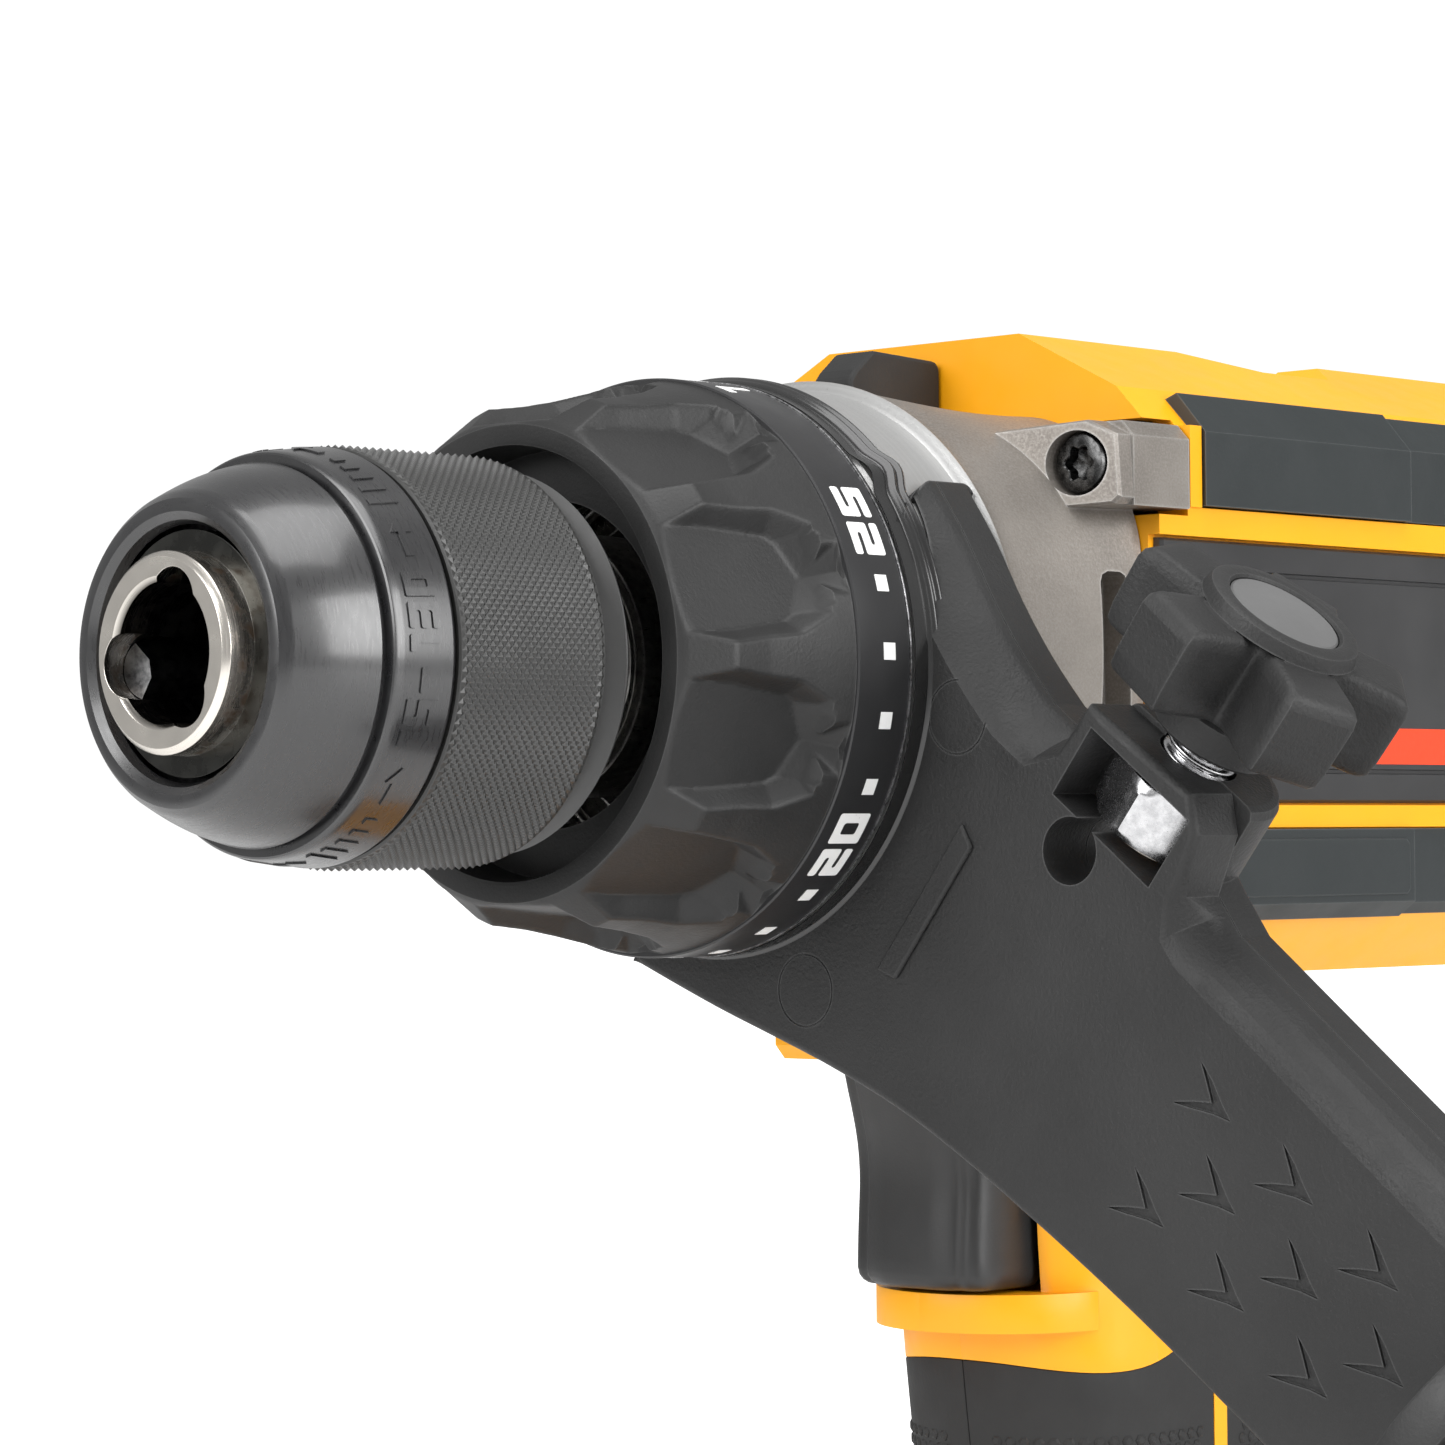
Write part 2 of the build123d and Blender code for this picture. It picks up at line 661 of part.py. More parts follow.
with BuildPart() as housing_left:
    # body
    with BuildSketch(station(CASE_BACK + 0.2)):
        Polygon(*body_outline(), align=None)
    extrude(amount=-(HOUSING_BACK - CASE_BACK - 0.2))
    # raised ribs between the trim panels
    for rib_low, rib_high in ((14.7, 17.9), (-17.7, -15.2)):
        with BuildSketch(side_plane(BODY_SIDE - 1)):
            with Locations(((CASE_BACK + HOUSING_BACK) / 2 + 0.1, (rib_low + rib_high) / 2)):
                Rectangle(HOUSING_BACK - CASE_BACK - 0.2, rib_high - rib_low)
        extrude(amount=TRIM_SIDE - BODY_SIDE + 0.4)
    # front band round the upper trim
    with BuildSketch(side_plane(BODY_SIDE - 1)):
        Polygon((118.3, 17.9), (118.3, 27.0), (120.4, 27.0), (120.4, 17.9), align=None)
    extrude(amount=TRIM_SIDE - BODY_SIDE + 0.8)
    # belly over the trigger
    with BuildSketch(side_plane(0)):
        Polygon(
            (BELLY_FRONT, -36.5), (BELLY_FRONT, -42.0), (BELLY_FRONT + 1.5, -43.6), (125, -43.6),
            (125, -33), (CASE_BACK + 0.2, -33), (CASE_BACK + 0.2, -36.5), align=None,
        )
    extrude(amount=BELLY_HALF)
    add(grip_outer.part)
    # guard lip under the trigger
    with BuildSketch(level(GUARD_Z - 4.4)):
        with BuildLine():
            Line((125.0, 0), (111.0, 0))
            ThreePointArc((111.0, 0), (114.6, -9.6), (125.0, -15.0))
            Line((125.0, -15.0), (125.0, 0))
        make_face()
    extrude(amount=4.4)
    # foot over the battery
    with BuildSketch(level(BATTERY_TOP + 0.1)):
        with Locations((ORIGIN_S, 0)):
            RectangleRounded(BATTERY_LENGTH - 14, BATTERY_WIDTH - 4, 10)
    with BuildSketch(level(FOOT_TOP)):
        with Locations((ORIGIN_S + 2, 0)):
            RectangleRounded(BATTERY_LENGTH - 30, BATTERY_WIDTH - 22, 10)
    loft()
    split(bisect_by=Plane.XZ, keep=Keep.BOTTOM)
    # motor room behind the front wall, and the opening in that wall
    with BuildSketch(station(CASE_BACK + SHELL)):
        Polygon(*body_outline(SHELL), align=None)
    extrude(amount=-(HOUSING_BACK - CASE_BACK - SHELL + 1), mode=Mode.SUBTRACT)
    with BuildSketch(station(CASE_BACK)):
        RectangleRounded(54.0, 50.0, 16.0)
    extrude(amount=-(SHELL + 1), mode=Mode.SUBTRACT)
    # room in the grip
    with BuildSketch(level(-30)):
        with Locations((143.5, 0)):
            RectangleRounded(33, 26, 6)
    with BuildSketch(level(FOOT_TOP - 6)):
        with Locations((148.5, 0)):
            RectangleRounded(33, 26, 6)
    loft(mode=Mode.SUBTRACT)
    # slide way of the battery's tower, open in front, with the latch's notch in its roof
    with BuildSketch(level(BATTERY_TOP - 1)):
        with Locations((137.0, 0)):
            Rectangle(116, 44)
    extrude(amount=6.4, mode=Mode.SUBTRACT)
    with BuildSketch(level(BATTERY_TOP + 5)):
        with Locations((99.5, 0)):
            Rectangle(3.6, 12.6)
    extrude(amount=3.0, mode=Mode.SUBTRACT)
    # trigger opening
    with BuildSketch(side_plane(0)):
        Polygon((100, -43.6), (100, GUARD_Z), (131, GUARD_Z), (131, -43.6), align=None)
    extrude(amount=10.5, both=True, mode=Mode.SUBTRACT)
    # seats of the direction selector and of the work light
    with BuildSketch(side_plane(0)):
        with Locations((124.5, -40.0)):
            Rectangle(11.0, 5.6)
    extrude(amount=22, mode=Mode.SUBTRACT)
    with BuildSketch(side_plane(0)):
        with Locations((BELLY_FRONT + 3.5, -39.9)):
            Rectangle(8.0, 3.4)
    extrude(amount=5.0, mode=Mode.SUBTRACT)
    # valley behind the front hump, and the speed selector's slot in it
    with BuildSketch(side_plane(0)):
        Polygon(
            (142.0, BODY_TOP), (154.0, VALLEY_Z), (167.0, VALLEY_Z), (170.0, BODY_TOP),
            (170.0, 50), (142.0, 50), align=None,
        )
    extrude(amount=40, mode=Mode.SUBTRACT)
    with BuildSketch(level(BODY_TOP - 8)):
        with Locations((SELECTOR_S + SELECTOR_TRAVEL / 2, 0)):
            Rectangle(26.0, 17.0)
    extrude(amount=12, mode=Mode.SUBTRACT)
    # room for the gear case's screw bosses
    for boss_z in (BOSS_Z, LOWER_BOSS_Z):
        with BuildSketch(station(CASE_BACK)):
            with Locations((BOSS_Y + 1, boss_z)):
                RectangleRounded(12.4, 10.8, 2.0)
        extrude(amount=-5.3, mode=Mode.SUBTRACT)
    add(grip_overmould_left.part, mode=Mode.SUBTRACT)
    # screw posts
    for screw_s, screw_z, screw_y in HOUSING_SCREWS:
        with BuildSketch(side_plane(0)):
            with Locations((screw_s, screw_z)):
                Circle(3.6)
        extrude(amount=screw_y - 1.0)
        with BuildSketch(side_plane(0)):
            with Locations((screw_s, screw_z)):
                Circle(1.5)
        extrude(amount=9.0, mode=Mode.SUBTRACT)
save(housing_left, "housing_left")

with BuildPart() as housing_right:
    add(housing_left.part)
    mirror(about=Plane.XZ, mode=Mode.REPLACE)
    for screw_s, screw_z, screw_y in HOUSING_SCREWS:
        with BuildSketch(side_plane(0)):
            with Locations((screw_s, screw_z)):
                Circle(1.7)
        extrude(amount=-(screw_y + 3), mode=Mode.SUBTRACT)
        with BuildSketch(side_plane(-(screw_y - 3.4))):
            with Locations((screw_s, screw_z)):
                Circle(3.1)
        extrude(amount=-6, mode=Mode.SUBTRACT)
save(housing_right, "housing_right")

save(grip_overmould_left, "grip_overmould_left")
with BuildPart() as grip_overmould_right:
    add(grip_overmould_left.part)
    mirror(about=Plane.XZ, mode=Mode.REPLACE)
save(grip_overmould_right, "grip_overmould_right")

with BuildPart() as housing_screws:
    for screw_s, screw_z, screw_y in HOUSING_SCREWS:
        head_y = -(screw_y - 3.4)
        with BuildSketch(side_plane(head_y)):
            with Locations((screw_s, screw_z)):
                Circle(2.9)
        extrude(amount=-2.2)
        with BuildSketch(side_plane(head_y)):
            with Locations((screw_s, screw_z)):
                Circle(1.45)
        extrude(amount=-head_y + 8.0)
        with BuildSketch(side_plane(head_y - 2.2)):
            with Locations((screw_s, screw_z)):
                RegularPolygon(radius=1.4, side_count=6)
        extrude(amount=1.4, mode=Mode.SUBTRACT)
save(housing_screws, "housing_screws")

# ---------------------------------------------------------------- trim on the body
TRIM_STEP = 160.0           # where the raised trim steps down

with BuildPart() as side_panel_left:
    with BuildSketch(side_plane(BODY_SIDE)):
        with Locations(((CASE_BACK + HOUSING_BACK) / 2 + 0.5, -0.25)):
            Rectangle(HOUSING_BACK - CASE_BACK - 1.6, 29.5)
    extrude(amount=1.2)
    fillet(side_panel_left.edges().filter_by(Axis.X).sort_by(Axis.Y)[-2:], 0.6)
save(side_panel_left, "side_panel_left")

with BuildPart() as side_bumpers_left:
    with BuildSketch(station(120.6)):
        Polygon(
            (32.8, 18.1), (35.2, 18.1), (35.2, 26.4), (31.2, 31.0), (29.58, 30.38),
            (32.8, 27.0), align=None,
        )
    extrude(amount=-(TRIM_STEP - 120.6))
    with BuildSketch(station(TRIM_STEP)):
        Polygon(
            (32.8, 18.1), (34.1, 18.1), (34.1, 26.6), (30.4, 30.7), (29.58, 30.38),
            (32.8, 27.0), align=None,
        )
    extrude(amount=-(HOUSING_BACK - TRIM_STEP - 0.6))
    with BuildSketch(station(118.6)):
        Polygon(
            (32.8, -17.9), (35.0, -17.9), (35.0, -26.4), (32.6, -28.2), (32.02, -27.75),
            (32.8, -27.0), align=None,
        )
    extrude(amount=-(TRIM_STEP - 118.6))
    with BuildSketch(station(TRIM_STEP)):
        Polygon(
            (32.8, -17.9), (34.0, -17.9), (34.0, -26.6), (32.2, -27.93), (32.02, -27.75),
            (32.8, -27.0), align=None,
        )
    extrude(amount=-(HOUSING_BACK - TRIM_STEP - 0.6))
save(side_bumpers_left, "side_bumpers_left")

with BuildPart() as side_panel_right:
    add(side_panel_left.part)
    mirror(about=Plane.XZ, mode=Mode.REPLACE)
save(side_panel_right, "side_panel_right")

with BuildPart() as side_bumpers_right:
    add(side_bumpers_left.part)
    mirror(about=Plane.XZ, mode=Mode.REPLACE)
save(side_bumpers_right, "side_bumpers_right")

with BuildPart() as front_bumper:
    with BuildSketch(side_plane(0)):
        Polygon(
            (97.6, 33.2), (98.6, 34.4), (101.4, 36.7), (112.4, 36.2), (CASE_BACK, 35.4),
            (CASE_BACK, 27.0), (97.6, 27.0), align=None,
        )
    extrude(amount=2.9, both=True)
    add(gear_case.part, mode=Mode.SUBTRACT)
save(front_bumper, "front_bumper")

with BuildPart() as rear_cap:
    with BuildSketch(station(HOUSING_BACK + 0.1)):
        Polygon(*body_outline(0.6), align=None)
    extrude(amount=-(TOOL_BACK - HOUSING_BACK - 0.1))
    mirror(about=Plane.XZ)
    chamfer(rear_cap.faces().sort_by(Axis.X)[0].edges(), 5.0)
    with BuildSketch(station(HOUSING_BACK)):
        RectangleRounded(54, 56, 12)
    extrude(amount=-(TOOL_BACK - HOUSING_BACK - 3.0), mode=Mode.SUBTRACT)
    with BuildSketch(station(TOOL_BACK - 6)):
        with GridLocations(0, 7.0, 1, 6):
            RectangleRounded(34, 3.0, 1.4)
    extrude(amount=-10, mode=Mode.SUBTRACT)
save(rear_cap, "rear_cap")

# ---------------------------------------------------------------- controls
with BuildPart() as speed_selector:
    # flange under the roof, slider in the slot and thumb piece above it
    with BuildSketch(level(VALLEY_Z - 3.6)):
        with Locations((SELECTOR_S, 0)):
            Rectangle(24.0, 22.0)
    extrude(amount=1.1)
    with BuildSketch(level(VALLEY_Z - 3.6)):
        with Locations((SELECTOR_S, 0)):
            Rectangle(17.4, 16.4)
    extrude(amount=3.4)
    with BuildSketch(side_plane(0)):
        Polygon((149.6, 36.3), (151.6, 38.9), (160.6, 39.1), (164.4, 36.3), align=None)
    extrude(amount=6.5, both=True)
save(speed_selector, "speed_selector")

with BuildPart() as trigger:
    with BuildSketch(side_plane(0)):
        with BuildLine():
            ThreePointArc((106.0, -44.4), (109.2, -56.0), (108.2, -68.4))
            ThreePointArc((108.2, -68.4), (108.6, -69.6), (109.8, -70.1))
            Polyline((109.8, -70.1), (121.6, -70.1), (121.6, -44.4), (106.0, -44.4))
        make_face()
    extrude(amount=9.6, both=True)
    fillet(trigger.edges().group_by(Axis.X)[-1], 0.3)
    with BuildSketch(station(121.6)):
        with Locations((0, -57.0)):
            Circle(3.6)
    extrude(amount=-12.0)
save(trigger, "trigger")

with BuildPart() as trigger_switch:
    with BuildSketch(station(132.4)):
        with Locations((0, -59.0)):
            RectangleRounded(22.0, 26.0, 2.0)
    extrude(amount=-24.0)
    with BuildSketch(station(132.0)):
        with Locations((0, -57.0)):
            Circle(4.0)
    extrude(amount=-12.0, mode=Mode.SUBTRACT)
save(trigger_switch, "trigger_switch")

with BuildPart() as trigger_spring:
    # ring-shaped turns of the return spring, joined by a thin seam
    for turn in range(4):
        with BuildSketch(side_plane(0)):
            with Locations((122.6 + turn * 2.9, -57.0 + 5.2)):
                Circle(0.5)
        revolve(axis=Axis((0, 0, AXIS_Z - 57.0), (1, 0, 0)))
    with BuildSketch(side_plane(0)):
        with Locations((122.6 + 1.5 * 2.9, -57.0 + 5.2)):
            Rectangle(3 * 2.9, 0.4)
    revolve(axis=Axis((0, 0, AXIS_Z - 57.0), (1, 0, 0)), revolution_arc=16)
save(trigger_spring, "trigger_spring")

with BuildPart() as direction_selector:
    with BuildSketch(side_plane(0)):
        with Locations((124.5, -40.0)):
            RectangleRounded(10.2, 4.8, 1.5)
    extrude(amount=20.0, both=True)
    chamfer(direction_selector.faces().sort_by(Axis.Y)[-1].edges(), 0.8)
    chamfer(direction_selector.faces().sort_by(Axis.Y)[0].edges(), 0.8)
save(direction_selector, "direction_selector")

with BuildPart() as work_light:
    with BuildSketch(side_plane(0)):
        with Locations((BELLY_FRONT + 3.8, -39.9)):
            RectangleRounded(6.6, 3.2, 0.8)
    extrude(amount=4.8, both=True)
save(work_light, "work_light")

with BuildPart() as terminal_block:
    with BuildSketch(level(BATTERY_TOP + 0.3)):
        with Locations((190.9, 0)):
            Rectangle(7.8, 34)
    extrude(amount=5.0)
    for blade_y in (-11, 0, 11):
        with BuildSketch(level(BATTERY_TOP + 1.2)):
            with Locations((182.0, blade_y)):
                Rectangle(10.2, 0.8)
        extrude(amount=3.2)
save(terminal_block, "terminal_block")

# ---------------------------------------------------------------- battery
BATTERY_SPLIT = -190.0
BATTERY_FLOOR = -AXIS_Z
WALL = 2.2

with BuildPart() as battery_case:
    with BuildSketch(level(BATTERY_FLOOR)):
        with Locations((ORIGIN_S, 0)):
            RectangleRounded(BATTERY_LENGTH, BATTERY_WIDTH, 10)
    extrude(amount=BATTERY_SPLIT - BATTERY_FLOOR)
    chamfer(battery_case.faces().sort_by(Axis.Z)[0].edges(), 1.5)
    with BuildSketch(level(BATTERY_FLOOR + WALL)):
        with Locations((ORIGIN_S, 0)):
            RectangleRounded(BATTERY_LENGTH - 2 * WALL, BATTERY_WIDTH - 2 * WALL, 8)
    extrude(amount=40, mode=Mode.SUBTRACT)
save(battery_case, "battery_case")

with BuildPart() as battery_lid:
    with BuildSketch(level(BATTERY_SPLIT)):
        with Locations((ORIGIN_S, 0)):
            RectangleRounded(BATTERY_LENGTH, BATTERY_WIDTH, 10)
    extrude(amount=BATTERY_TOP - BATTERY_SPLIT - 0.2)
    chamfer(battery_lid.faces().sort_by(Axis.Z)[-1].edges(), 1.5)
    with BuildSketch(level(BATTERY_TOP - 1)):
        with Locations((145.2, 0)):
            Rectangle(82.6, 43.2)
    extrude(amount=6.0)
    with BuildSketch(level(BATTERY_SPLIT)):
        with Locations((ORIGIN_S, 0)):
            RectangleRounded(BATTERY_LENGTH - 2 * WALL, BATTERY_WIDTH - 2 * WALL, 8)
    extrude(amount=BATTERY_TOP - BATTERY_SPLIT - WALL - 0.2, mode=Mode.SUBTRACT)
    # blade slots of the tower
    for blade_y in (-11, 0, 11):
        with BuildSketch(level(BATTERY_TOP + 0.6)):
            with Locations((182.0, blade_y)):
                Rectangle(14.0, 1.8)
        extrude(amount=6, mode=Mode.SUBTRACT)
    # recess of the latch
    with BuildSketch(level(-183.6)):
        with Locations((90.7, 0)):
            Rectangle(21.4, 18.8)
    extrude(amount=20, mode=Mode.SUBTRACT)
save(battery_lid, "battery_lid")

CELL_R = 9.2
CELL_ROWS = (-200.2, -181.4)

with BuildPart() as battery_cells:
    for row_z in CELL_ROWS:
        for column in range(5):
            with BuildSketch(side_plane(-32.5)):
                with Locations((112.6 + column * 18.8, row_z)):
                    Circle(CELL_R)
            extrude(amount=65.0)
save(battery_cells, "battery_cells")

with BuildPart() as battery_latch:
    with BuildSketch(level(-180.0)):
        with Locations((93.7, 0)):
            Rectangle(14.6, 18.0)
    extrude(amount=13.6)
    chamfer(battery_latch.faces().sort_by(Axis.X)[-1].edges(), 1.2)
    with BuildSketch(level(-166.4)):
        with Locations((99.5, 0)):
            Rectangle(2.8, 12.0)
    extrude(amount=8.0)
    with BuildSketch(level(-180.0)):
        with Locations((95.2, 0)):
            Rectangle(9.0, 14.0)
    extrude(amount=11.0, mode=Mode.SUBTRACT)
save(battery_latch, "battery_latch")

# ---------------------------------------------------------------- side handle
BAND_FRONT = 78.9
BAND_WIDTH = 2.4


def arm_outline():
    """Outline of the arm and its collar end, without the clamp lug."""
    with BuildSketch(arm_plane(ARM_FRONT)) as outline:
        with BuildLine():
            ThreePointArc((8.7, 31.6), (23.1, 26.2), (36.5, 22.4))
            Polyline((36.5, 22.4), (58.0, 22.4), (68.0, ARM_HALF + 1.2))
            Line((68.0, ARM_HALF + 1.2), (118.0, ARM_HALF))
            Line((118.0, ARM_HALF), (122.5, 13.5))
            Line((122.5, 13.5), (122.5, -13.0))
            Line((122.5, -13.0), (118.0, -16.6))
            Spline(
                (118.0, -16.6), (86.0, -17.4), (57.9, -19.9), (41.2, -23.4), (22.0, -29.6),
                (9.0, -33.4),
            )
            Line((9.0, -33.4), (8.7, 31.6))
        make_face()
    return outline.sketch_local


ARM_OUTLINE = arm_outline()


with BuildPart() as arm_holes:
    # neck seat and band groove
    with BuildSketch(arm_plane(ARM_FRONT - 2)):
        Circle(NECK_R + GAP)
    extrude(amount=-30)
    with BuildSketch(arm_plane(BAND_FRONT - 0.2)):
        Circle(NECK_R + 1.5)
    extrude(amount=-(BAND_WIDTH + 0.4))
    # depth rod hole, nut pocket, stud hole and tie rod hole
    with BuildSketch(arm_plane(ARM_FRONT - 2)):
        with Locations((51.7, 14.9)):
            Circle(ROD_HOLE_R)
    extrude(amount=-30)
    with BuildSketch(arm_plane(ARM_FRONT - 2)):
        with Locations((STUD_U, 22.4)):
            Rectangle(15.6, 8.4)
    extrude(amount=-18.2)
    with BuildSketch(stud_plane(15)):
        Circle(4.3)
    extrude(amount=20)
    with BuildSketch(arm_axis_plane(58)):
        Circle(4.4)
    extrude(amount=70)

with BuildPart() as handle_front_shell:
    with BuildSketch(arm_plane(ARM_FRONT)):
        add(ARM_OUTLINE)
    extrude(amount=-(ARM_SEAM - ARM_FRONT))
    with BuildSketch(arm_plane(ARM_FRONT)):
        Polygon(
            (44.2, 20.0), (44.6, 28.4), (60.5, 29.0), (63.6, 26.0), (64.6, 18.0), align=None
        )
    extrude(amount=-(ARM_SEAM - ARM_FRONT))
    add(arm_holes.part, mode=Mode.SUBTRACT)
save(handle_front_shell, "handle_front_shell")

with BuildPart() as handle_rear_shell:
    with BuildSketch(arm_plane(ARM_SEAM)):
        add(ARM_OUTLINE)
    extrude(amount=-(ARM_BACK - ARM_SEAM))
    with BuildSketch(stud_plane(18.7)):
        Circle(9.8)
    extrude(amount=10.3)
    split(bisect_by=station(ARM_SEAM), keep=Keep.BOTTOM)
    add(arm_holes.part, mode=Mode.SUBTRACT)
save(handle_rear_shell, "handle_rear_shell")

with BuildPart() as clamp_band:
    with BuildSketch(arm_plane(BAND_FRONT)):
        Circle(NECK_R + 1.2)
        Circle(NECK_R + GAP, mode=Mode.SUBTRACT)
    extrude(amount=-BAND_WIDTH)
save(clamp_band, "clamp_band")

with BuildPart() as clamp_nut:
    with BuildSketch(stud_plane(19.2)):
        RegularPolygon(radius=7.5, side_count=6, rotation=-5)
        Circle(4.0 + FIT, mode=Mode.SUBTRACT)
    extrude(amount=6.5)
save(clamp_nut, "clamp_nut")

with BuildPart() as clamp_stud:
    with BuildSketch(stud_plane(19.0)):
        Circle(4.0)
    extrude(amount=24.0)
save(clamp_stud, "clamp_stud")

with BuildPart() as clamp_knob:
    with BuildSketch(stud_plane(31.2)):
        Circle(6.6)
    extrude(amount=16.0)
    with BuildSketch(stud_plane(35.4)):
        Circle(9.5)
        with PolarLocations(10.5, 5, start_angle=25):
            RectangleRounded(9.6, 7.4, 2.6)
    extrude(amount=10.0)
    with BuildSketch(stud_plane(31.0)):
        Circle(4.0 + FIT)
    extrude(amount=12.2, mode=Mode.SUBTRACT)
save(clamp_knob, "clamp_knob")

with BuildPart() as handle_grip_core:
    with BuildSketch(arm_axis_plane(62)):
        Circle(4.0)
    extrude(amount=60.8)
    with BuildSketch(arm_axis_plane(122.8)):
        Circle(21.0)
    extrude(amount=5.0)
    with BuildSketch(arm_axis_plane(122.8)):
        Circle(13.0)
    extrude(amount=GRIP_END - 122.8 + 4)
    with BuildSketch(arm_axis_plane(GRIP_END)):
        Circle(18.0)
    extrude(amount=4.0)
save(handle_grip_core, "handle_grip_core")

with BuildPart() as handle_grip_sleeve:
    with BuildSketch(arm_axis_plane(127.8)):
        Circle(16.5)
        Circle(13.0, mode=Mode.SUBTRACT)
    extrude(amount=GRIP_END - 127.8)
save(handle_grip_sleeve, "handle_grip_sleeve")
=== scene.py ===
import json
from math import ceil, cos, degrees, hypot, pi, radians, sin, sqrt, tan

import bmesh
import bpy
from mathutils import Matrix, Vector


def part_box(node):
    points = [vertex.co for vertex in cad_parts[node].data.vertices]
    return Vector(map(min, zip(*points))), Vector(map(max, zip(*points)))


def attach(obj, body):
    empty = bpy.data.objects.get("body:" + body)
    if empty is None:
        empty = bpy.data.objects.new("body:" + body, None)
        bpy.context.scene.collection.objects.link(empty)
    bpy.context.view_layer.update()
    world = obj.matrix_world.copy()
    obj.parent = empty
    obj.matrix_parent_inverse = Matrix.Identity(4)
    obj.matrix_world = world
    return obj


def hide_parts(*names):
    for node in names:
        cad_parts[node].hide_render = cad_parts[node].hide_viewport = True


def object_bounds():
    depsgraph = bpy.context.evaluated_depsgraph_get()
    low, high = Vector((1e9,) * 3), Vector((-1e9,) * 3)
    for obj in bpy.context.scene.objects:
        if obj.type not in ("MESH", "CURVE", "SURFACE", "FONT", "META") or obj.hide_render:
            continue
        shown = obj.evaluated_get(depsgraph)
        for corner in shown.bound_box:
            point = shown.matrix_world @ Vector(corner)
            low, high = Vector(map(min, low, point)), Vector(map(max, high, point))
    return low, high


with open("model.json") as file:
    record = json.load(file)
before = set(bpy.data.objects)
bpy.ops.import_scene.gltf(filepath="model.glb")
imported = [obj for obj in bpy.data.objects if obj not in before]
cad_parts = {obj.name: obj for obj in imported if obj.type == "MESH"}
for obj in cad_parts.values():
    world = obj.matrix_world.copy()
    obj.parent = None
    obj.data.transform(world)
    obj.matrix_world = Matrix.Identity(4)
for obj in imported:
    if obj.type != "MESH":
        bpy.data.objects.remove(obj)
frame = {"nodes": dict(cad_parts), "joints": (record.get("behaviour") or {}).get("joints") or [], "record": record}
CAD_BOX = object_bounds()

MM = 0.001
scene = bpy.context.scene
nodes = frame["nodes"]
scene.view_settings.view_transform = "Standard"

# ---------------------------------------------------------------- places, from the frame
NOSE_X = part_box("chuck_body")[1].x
AXIS_Z = (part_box("chuck_grip_sleeve")[0].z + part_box("chuck_grip_sleeve")[1].z) / 2
joints = {joint["name"]: joint for joint in frame["joints"]}
STUD_AXIS = Vector(joints["clamp_knob_turn"]["axis"])
STUD_FOOT = Vector(joints["clamp_knob_turn"]["pos_m"])
ARM_ALONG = Vector((0, STUD_AXIS.z, -STUD_AXIS.y))      # out along the side handle's arm
AXIS_POINT = Vector((NOSE_X, 0, AXIS_Z))


def at(s, y, z):
    """A point from its distance behind the nose, left of the spindle and above it, in mm."""
    return Vector((NOSE_X - s * MM, y * MM, AXIS_Z + z * MM))


def polar(s, r, angle):
    """A point round the spindle. The angle is in degrees, from +Y towards +Z."""
    a = radians(angle)
    return at(s, r * cos(a), r * sin(a))


def arm(u, v, s):
    """A point on the side handle: out along the arm, across it, and behind the nose."""
    return AXIS_POINT + ARM_ALONG * (u * MM) + STUD_AXIS * (v * MM) - Vector((s * MM, 0, 0))


STUD_U = (STUD_FOOT - AXIS_POINT).dot(ARM_ALONG) / MM
STUD_S = (NOSE_X - STUD_FOOT.x) / MM


def on_stud(r, angle, v):
    """A point round the clamp's stud. Angle 0 points out along the arm, 90 at the chuck."""
    a = radians(angle)
    return arm(STUD_U + r * cos(a), v, STUD_S - r * sin(a))


# ---------------------------------------------------------------- shaping helpers
def smooth_min(a, b, k):
    h = max(0.0, min(1.0, 0.5 + 0.5 * (b - a) / k))
    return b * (1 - h) + a * h - k * h * (1 - h)


def smooth_max(a, b, k):
    return -smooth_min(-a, -b, k)


def ease(t):
    t = max(0.0, min(1.0, t))
    return t * t * (3 - 2 * t)


def between(points, x):
    """Straight-line interpolation in a list of (x, y)."""
    for (x0, y0), (x1, y1) in zip(points, points[1:]):
        if x <= x1:
            return y0 + (y1 - y0) * max(0.0, (x - x0) / (x1 - x0))
    return points[-1][1]


def mesh_from(name, points, faces):
    mesh = bpy.data.meshes.new(name)
    mesh.from_pydata([tuple(p) for p in points], [], faces)
    work = bmesh.new()
    work.from_mesh(mesh)
    bmesh.ops.remove_doubles(work, verts=work.verts, dist=1e-7)
    bmesh.ops.recalc_face_normals(work, faces=work.faces)
    work.to_mesh(mesh)
    work.free()
    return mesh


def loops_mesh(name, loops, closed=False, caps=True):
    """Skin over a row of closed loops with equal point counts. A closed row joins its ends."""
    count = len(loops[0])
    points = [p for loop in loops for p in loop]
    faces = []
    pairs = list(zip(range(len(loops)), range(1, len(loops))))
    if closed:
        pairs.append((len(loops) - 1, 0))
    for low, high in pairs:
        for k in range(count):
            n = (k + 1) % count
            faces.append((low * count + k, low * count + n, high * count + n, high * count + k))
    if caps and not closed:
        faces.append(tuple(reversed(range(count))))
        faces.append(tuple((len(loops) - 1) * count + k for k in range(count)))
    return mesh_from(name, points, faces)


def lathe_mesh(name, profile, place=polar, steps=128):
    """Turned shape from a closed profile of (station, radius)."""
    angles = [360 * k / steps for k in range(steps)]
    return loops_mesh(name, [[place(s, r, a) for a in angles] for s, r in profile], closed=True)


def prism_mesh(name, outline, place, low, high):
    """Upright prism over a 2D outline: place(x, y, height) gives a point."""
    return loops_mesh(name, [[place(x, y, h) for x, y in outline] for h in (low, high)])


